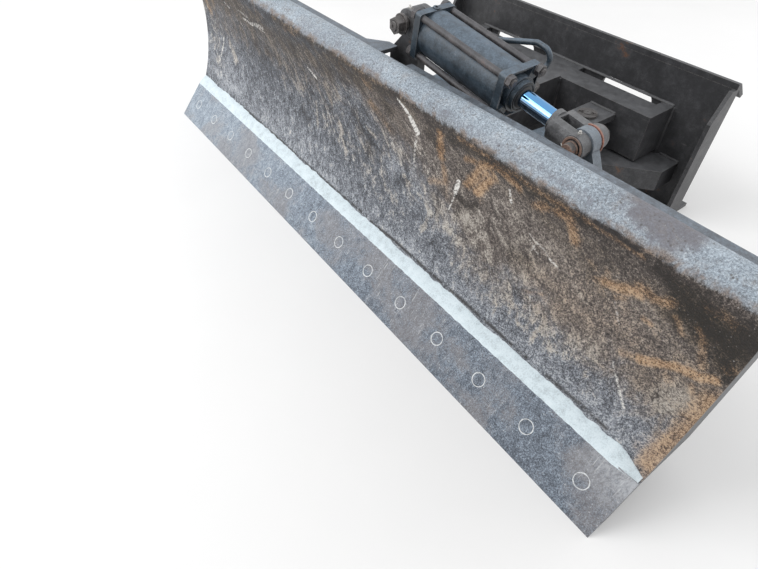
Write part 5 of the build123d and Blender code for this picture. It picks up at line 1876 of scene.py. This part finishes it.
    def frame_seams(self) -> list[Seam]:
        """The seams of spine, beam, lugs, joiner and quick-attach plate.

        Returns:
            The seams.
        """
        seams = []
        beam, nose, plate = self.beam_back, self.nose_back, self.plate_front
        ahead = (0, -1, 0)
        for side in (-1, 1):
            for x, y, low, high, way, size in (
                    (75.0, beam, 178, 322, 1, 6.0), (52.0, nose, 192, 308, 1, 6.0),
                    (420.0, plate, 178, 322, 1, 5.5), (553.0, plate, 20, 392, -1, 5.0)):
                ends = ((side * x, y, low), (side * x, y, high))
                seams.append(Seam(ends, ahead, (side * way, 0, 0), size))
            foot = ((side * 436.0, plate, 166), (side * 504.0, plate, 166))
            seams.append(Seam(foot, ahead, (0, 0, 1), 5.0))
            for z, leg in self.lug_legs:
                ends = ((side * 211.0, beam, z), (side * 309.0, beam, z))
                seams.append(Seam(ends, ahead, (0, 0, leg), 5.0))
        for z, leg in ((176.0, -1), (324.0, 1)):
            seams.append(Seam(((-420.0, plate, z), (420.0, plate, z)), ahead, (0, 0, leg), 6.0))
        seams.append(Seam(((-50.0, nose, 309.7), (50.0, nose, 309.7)), ahead, (0, 0, 1), 6.0))
        seams.append(Seam(((-562.0, 1098, 12.0), (562.0, 1098, 12.0)), (0, 1, 0), (0, 0, 1), 5.0))
        return seams

    def build(self) -> list[bpy.types.Object]:
        """Builds one piece of beads for each body.

        Returns:
            The new pieces.
        """
        made = []
        blade_seams = self.rail_seams() + self.rib_seams() + self.hub_seams()
        for body, slot, finish, seams in (("blade", "back_paint", Finishes.BACK, blade_seams),
                                          ("swing_head", "frame_paint", Finishes.FRAME, self.head_seams()),
                                          ("push_frame", "frame_paint", Finishes.FRAME, self.frame_seams())):
            shape = Shape()
            for seed, seam in enumerate(seams):
                shape.bead([spot(*place) for place in seam.line], Vector(seam.first), Vector(seam.second),
                           seam.size, seed * 3.7)
            made.append(shape.make(f"weld_beads_{body}", body, slot, self.paint.get(finish), 60))
        return made


# Carried-over nodes
@dataclass(frozen=True)
class Dressing:
    """Which finish each of the record's material slots wears, and the nodes that differ."""

    finishes: tuple[tuple[str, Finishes], ...] = (
        ("blade_steel", Finishes.BACK), ("edge_steel", Finishes.EDGE), ("back_paint", Finishes.BACK),
        ("frame_paint", Finishes.FRAME), ("cylinder_black", Finishes.CYLINDER),
        ("chrome_rod", Finishes.CHROME), ("bare_clevis", Finishes.CASTING), ("pin_steel", Finishes.PIN))
    special: tuple[tuple[str, Finishes], ...] = (
        ("tilt_tie_rods", Finishes.TIE_ROD), ("tilt_ear", Finishes.EAR),
        ("angle_rod_left", Finishes.PLAIN_CHROME), ("angle_rod_right", Finishes.PLAIN_CHROME))

    def apply(self, paint: Paintbox) -> int:
        """Gives every carried-over node its finish.

        Args:
            paint: The built finishes.

        Returns:
            How many nodes were dressed.
        """
        wanted = dict(self.finishes)
        special = dict(self.special)
        count = 0
        for row in frame["record"]["subparts"]:
            node = bpy.data.objects.get(row["node"])
            if node is None:
                continue
            for place in node.material_slots:
                place.material = paint.get(special.get(row["node"], wanted[row["material_slot"]]))
            count += 1
        return count


# Studio
@dataclass(frozen=True)
class Studio:
    """A pale floor, soft light and the photograph's camera."""

    camera_place: Point = (1.117, -1.130, 1.116)
    camera_turn: tuple[float, float, float] = (90 - 46.09, 0.0, 53.96)
    lens: float = 526 / 758 * 36
    sky: float = 0.78
    floor_half: float = 20.0
    floor_tones: tuple[Colour, Colour] = ((0.86, 0.86, 0.86), (0.90, 0.90, 0.90))

    def add_floor(self) -> None:
        """A pale plain floor that shows white."""
        half = self.floor_half
        mesh = bpy.data.meshes.new("floor")
        corners = [(-half, -half, 0), (half, -half, 0), (half, half, 0), (-half, half, 0)]
        mesh.from_pydata(corners, [], [(0, 1, 2, 3)])
        floor = bpy.data.objects.new("floor", mesh)
        bpy.context.scene.collection.objects.link(floor)
        g = Graph("studio_floor")
        mesh.materials.append(g.finish(g.layer(g.cloud(3, 3, 0.5), *self.floor_tones), 0.9))

    def add_light(self, name: str, place: Point, aim: Point, size: float, power: float) -> None:
        """Adds a soft square lamp.

        Args:
            name: The lamp's name.
            place: Where it stands, in metres.
            aim: The point that it looks at.
            size: Its side in metres.
            power: Its power in watts.
        """
        lamp = bpy.data.lights.new(name, "AREA")
        lamp.energy = power
        lamp.size = size
        holder = bpy.data.objects.new(name, lamp)
        holder.location = place
        holder.rotation_euler = (Vector(aim) - Vector(place)).to_track_quat("-Z", "Y").to_euler()
        bpy.context.scene.collection.objects.link(holder)

    def build(self) -> None:
        """Sets the stage."""
        scene = bpy.context.scene
        scene.view_settings.view_transform = "Standard"
        camera = bpy.data.cameras.new("camera")
        camera.lens = self.lens
        camera.sensor_width = 36
        holder = bpy.data.objects.new("camera", camera)
        holder.location = self.camera_place
        holder.rotation_euler = tuple(math.radians(turn) for turn in self.camera_turn)
        scene.collection.objects.link(holder)
        scene.camera = holder
        world = bpy.data.worlds.new("studio")
        world.use_nodes = True
        scene.world = world
        sky = world.node_tree.nodes["Background"]
        path = world.node_tree.nodes.new("ShaderNodeLightPath")
        seen = world.node_tree.nodes.new("ShaderNodeMath")
        seen.operation = "MAXIMUM"
        strength = world.node_tree.nodes.new("ShaderNodeMapRange")
        strength.inputs["To Min"].default_value = self.sky
        strength.inputs["To Max"].default_value = 1.0
        world.node_tree.links.new(path.outputs["Is Camera Ray"], seen.inputs[0])
        world.node_tree.links.new(path.outputs["Is Glossy Ray"], seen.inputs[1])
        world.node_tree.links.new(seen.outputs[0], strength.inputs["Value"])
        world.node_tree.links.new(strength.outputs[0], sky.inputs["Strength"])
        sky.inputs["Color"].default_value = (1, 1, 1, 1)
        self.add_floor()
        self.add_light("key", (-1.6, -2.4, 3.2), (0, 0, 0.3), 2.6, 85)
        self.add_light("back_fill", (1.6, 2.8, 2.6), (0, 0.3, 0.3), 2.4, 34)


def main() -> None:
    """Dresses the part and sets the stage."""
    logging.basicConfig(level=logging.INFO, format="%(name)s: %(message)s")
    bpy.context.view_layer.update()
    paint = Paintbox()
    LOG.info("nodes dressed: %d", Dressing().apply(paint))
    sheet = Moldboard(paint)
    pieces = [builder.build() for builder in (sheet, LedgeDust(paint, sheet), BoltRings(paint, sheet))]
    trims = (TiltCylinderTrim(paint), AngleCylinderTrim(paint), GreaseNipples(paint), Welds(paint, sheet))
    for trim in trims:
        pieces += trim.build()
    for piece in pieces:
        LOG.info("%s: %d faces", piece.name, len(piece.data.polygons))
    Studio().build()


if __name__ == "__main__":
    main()
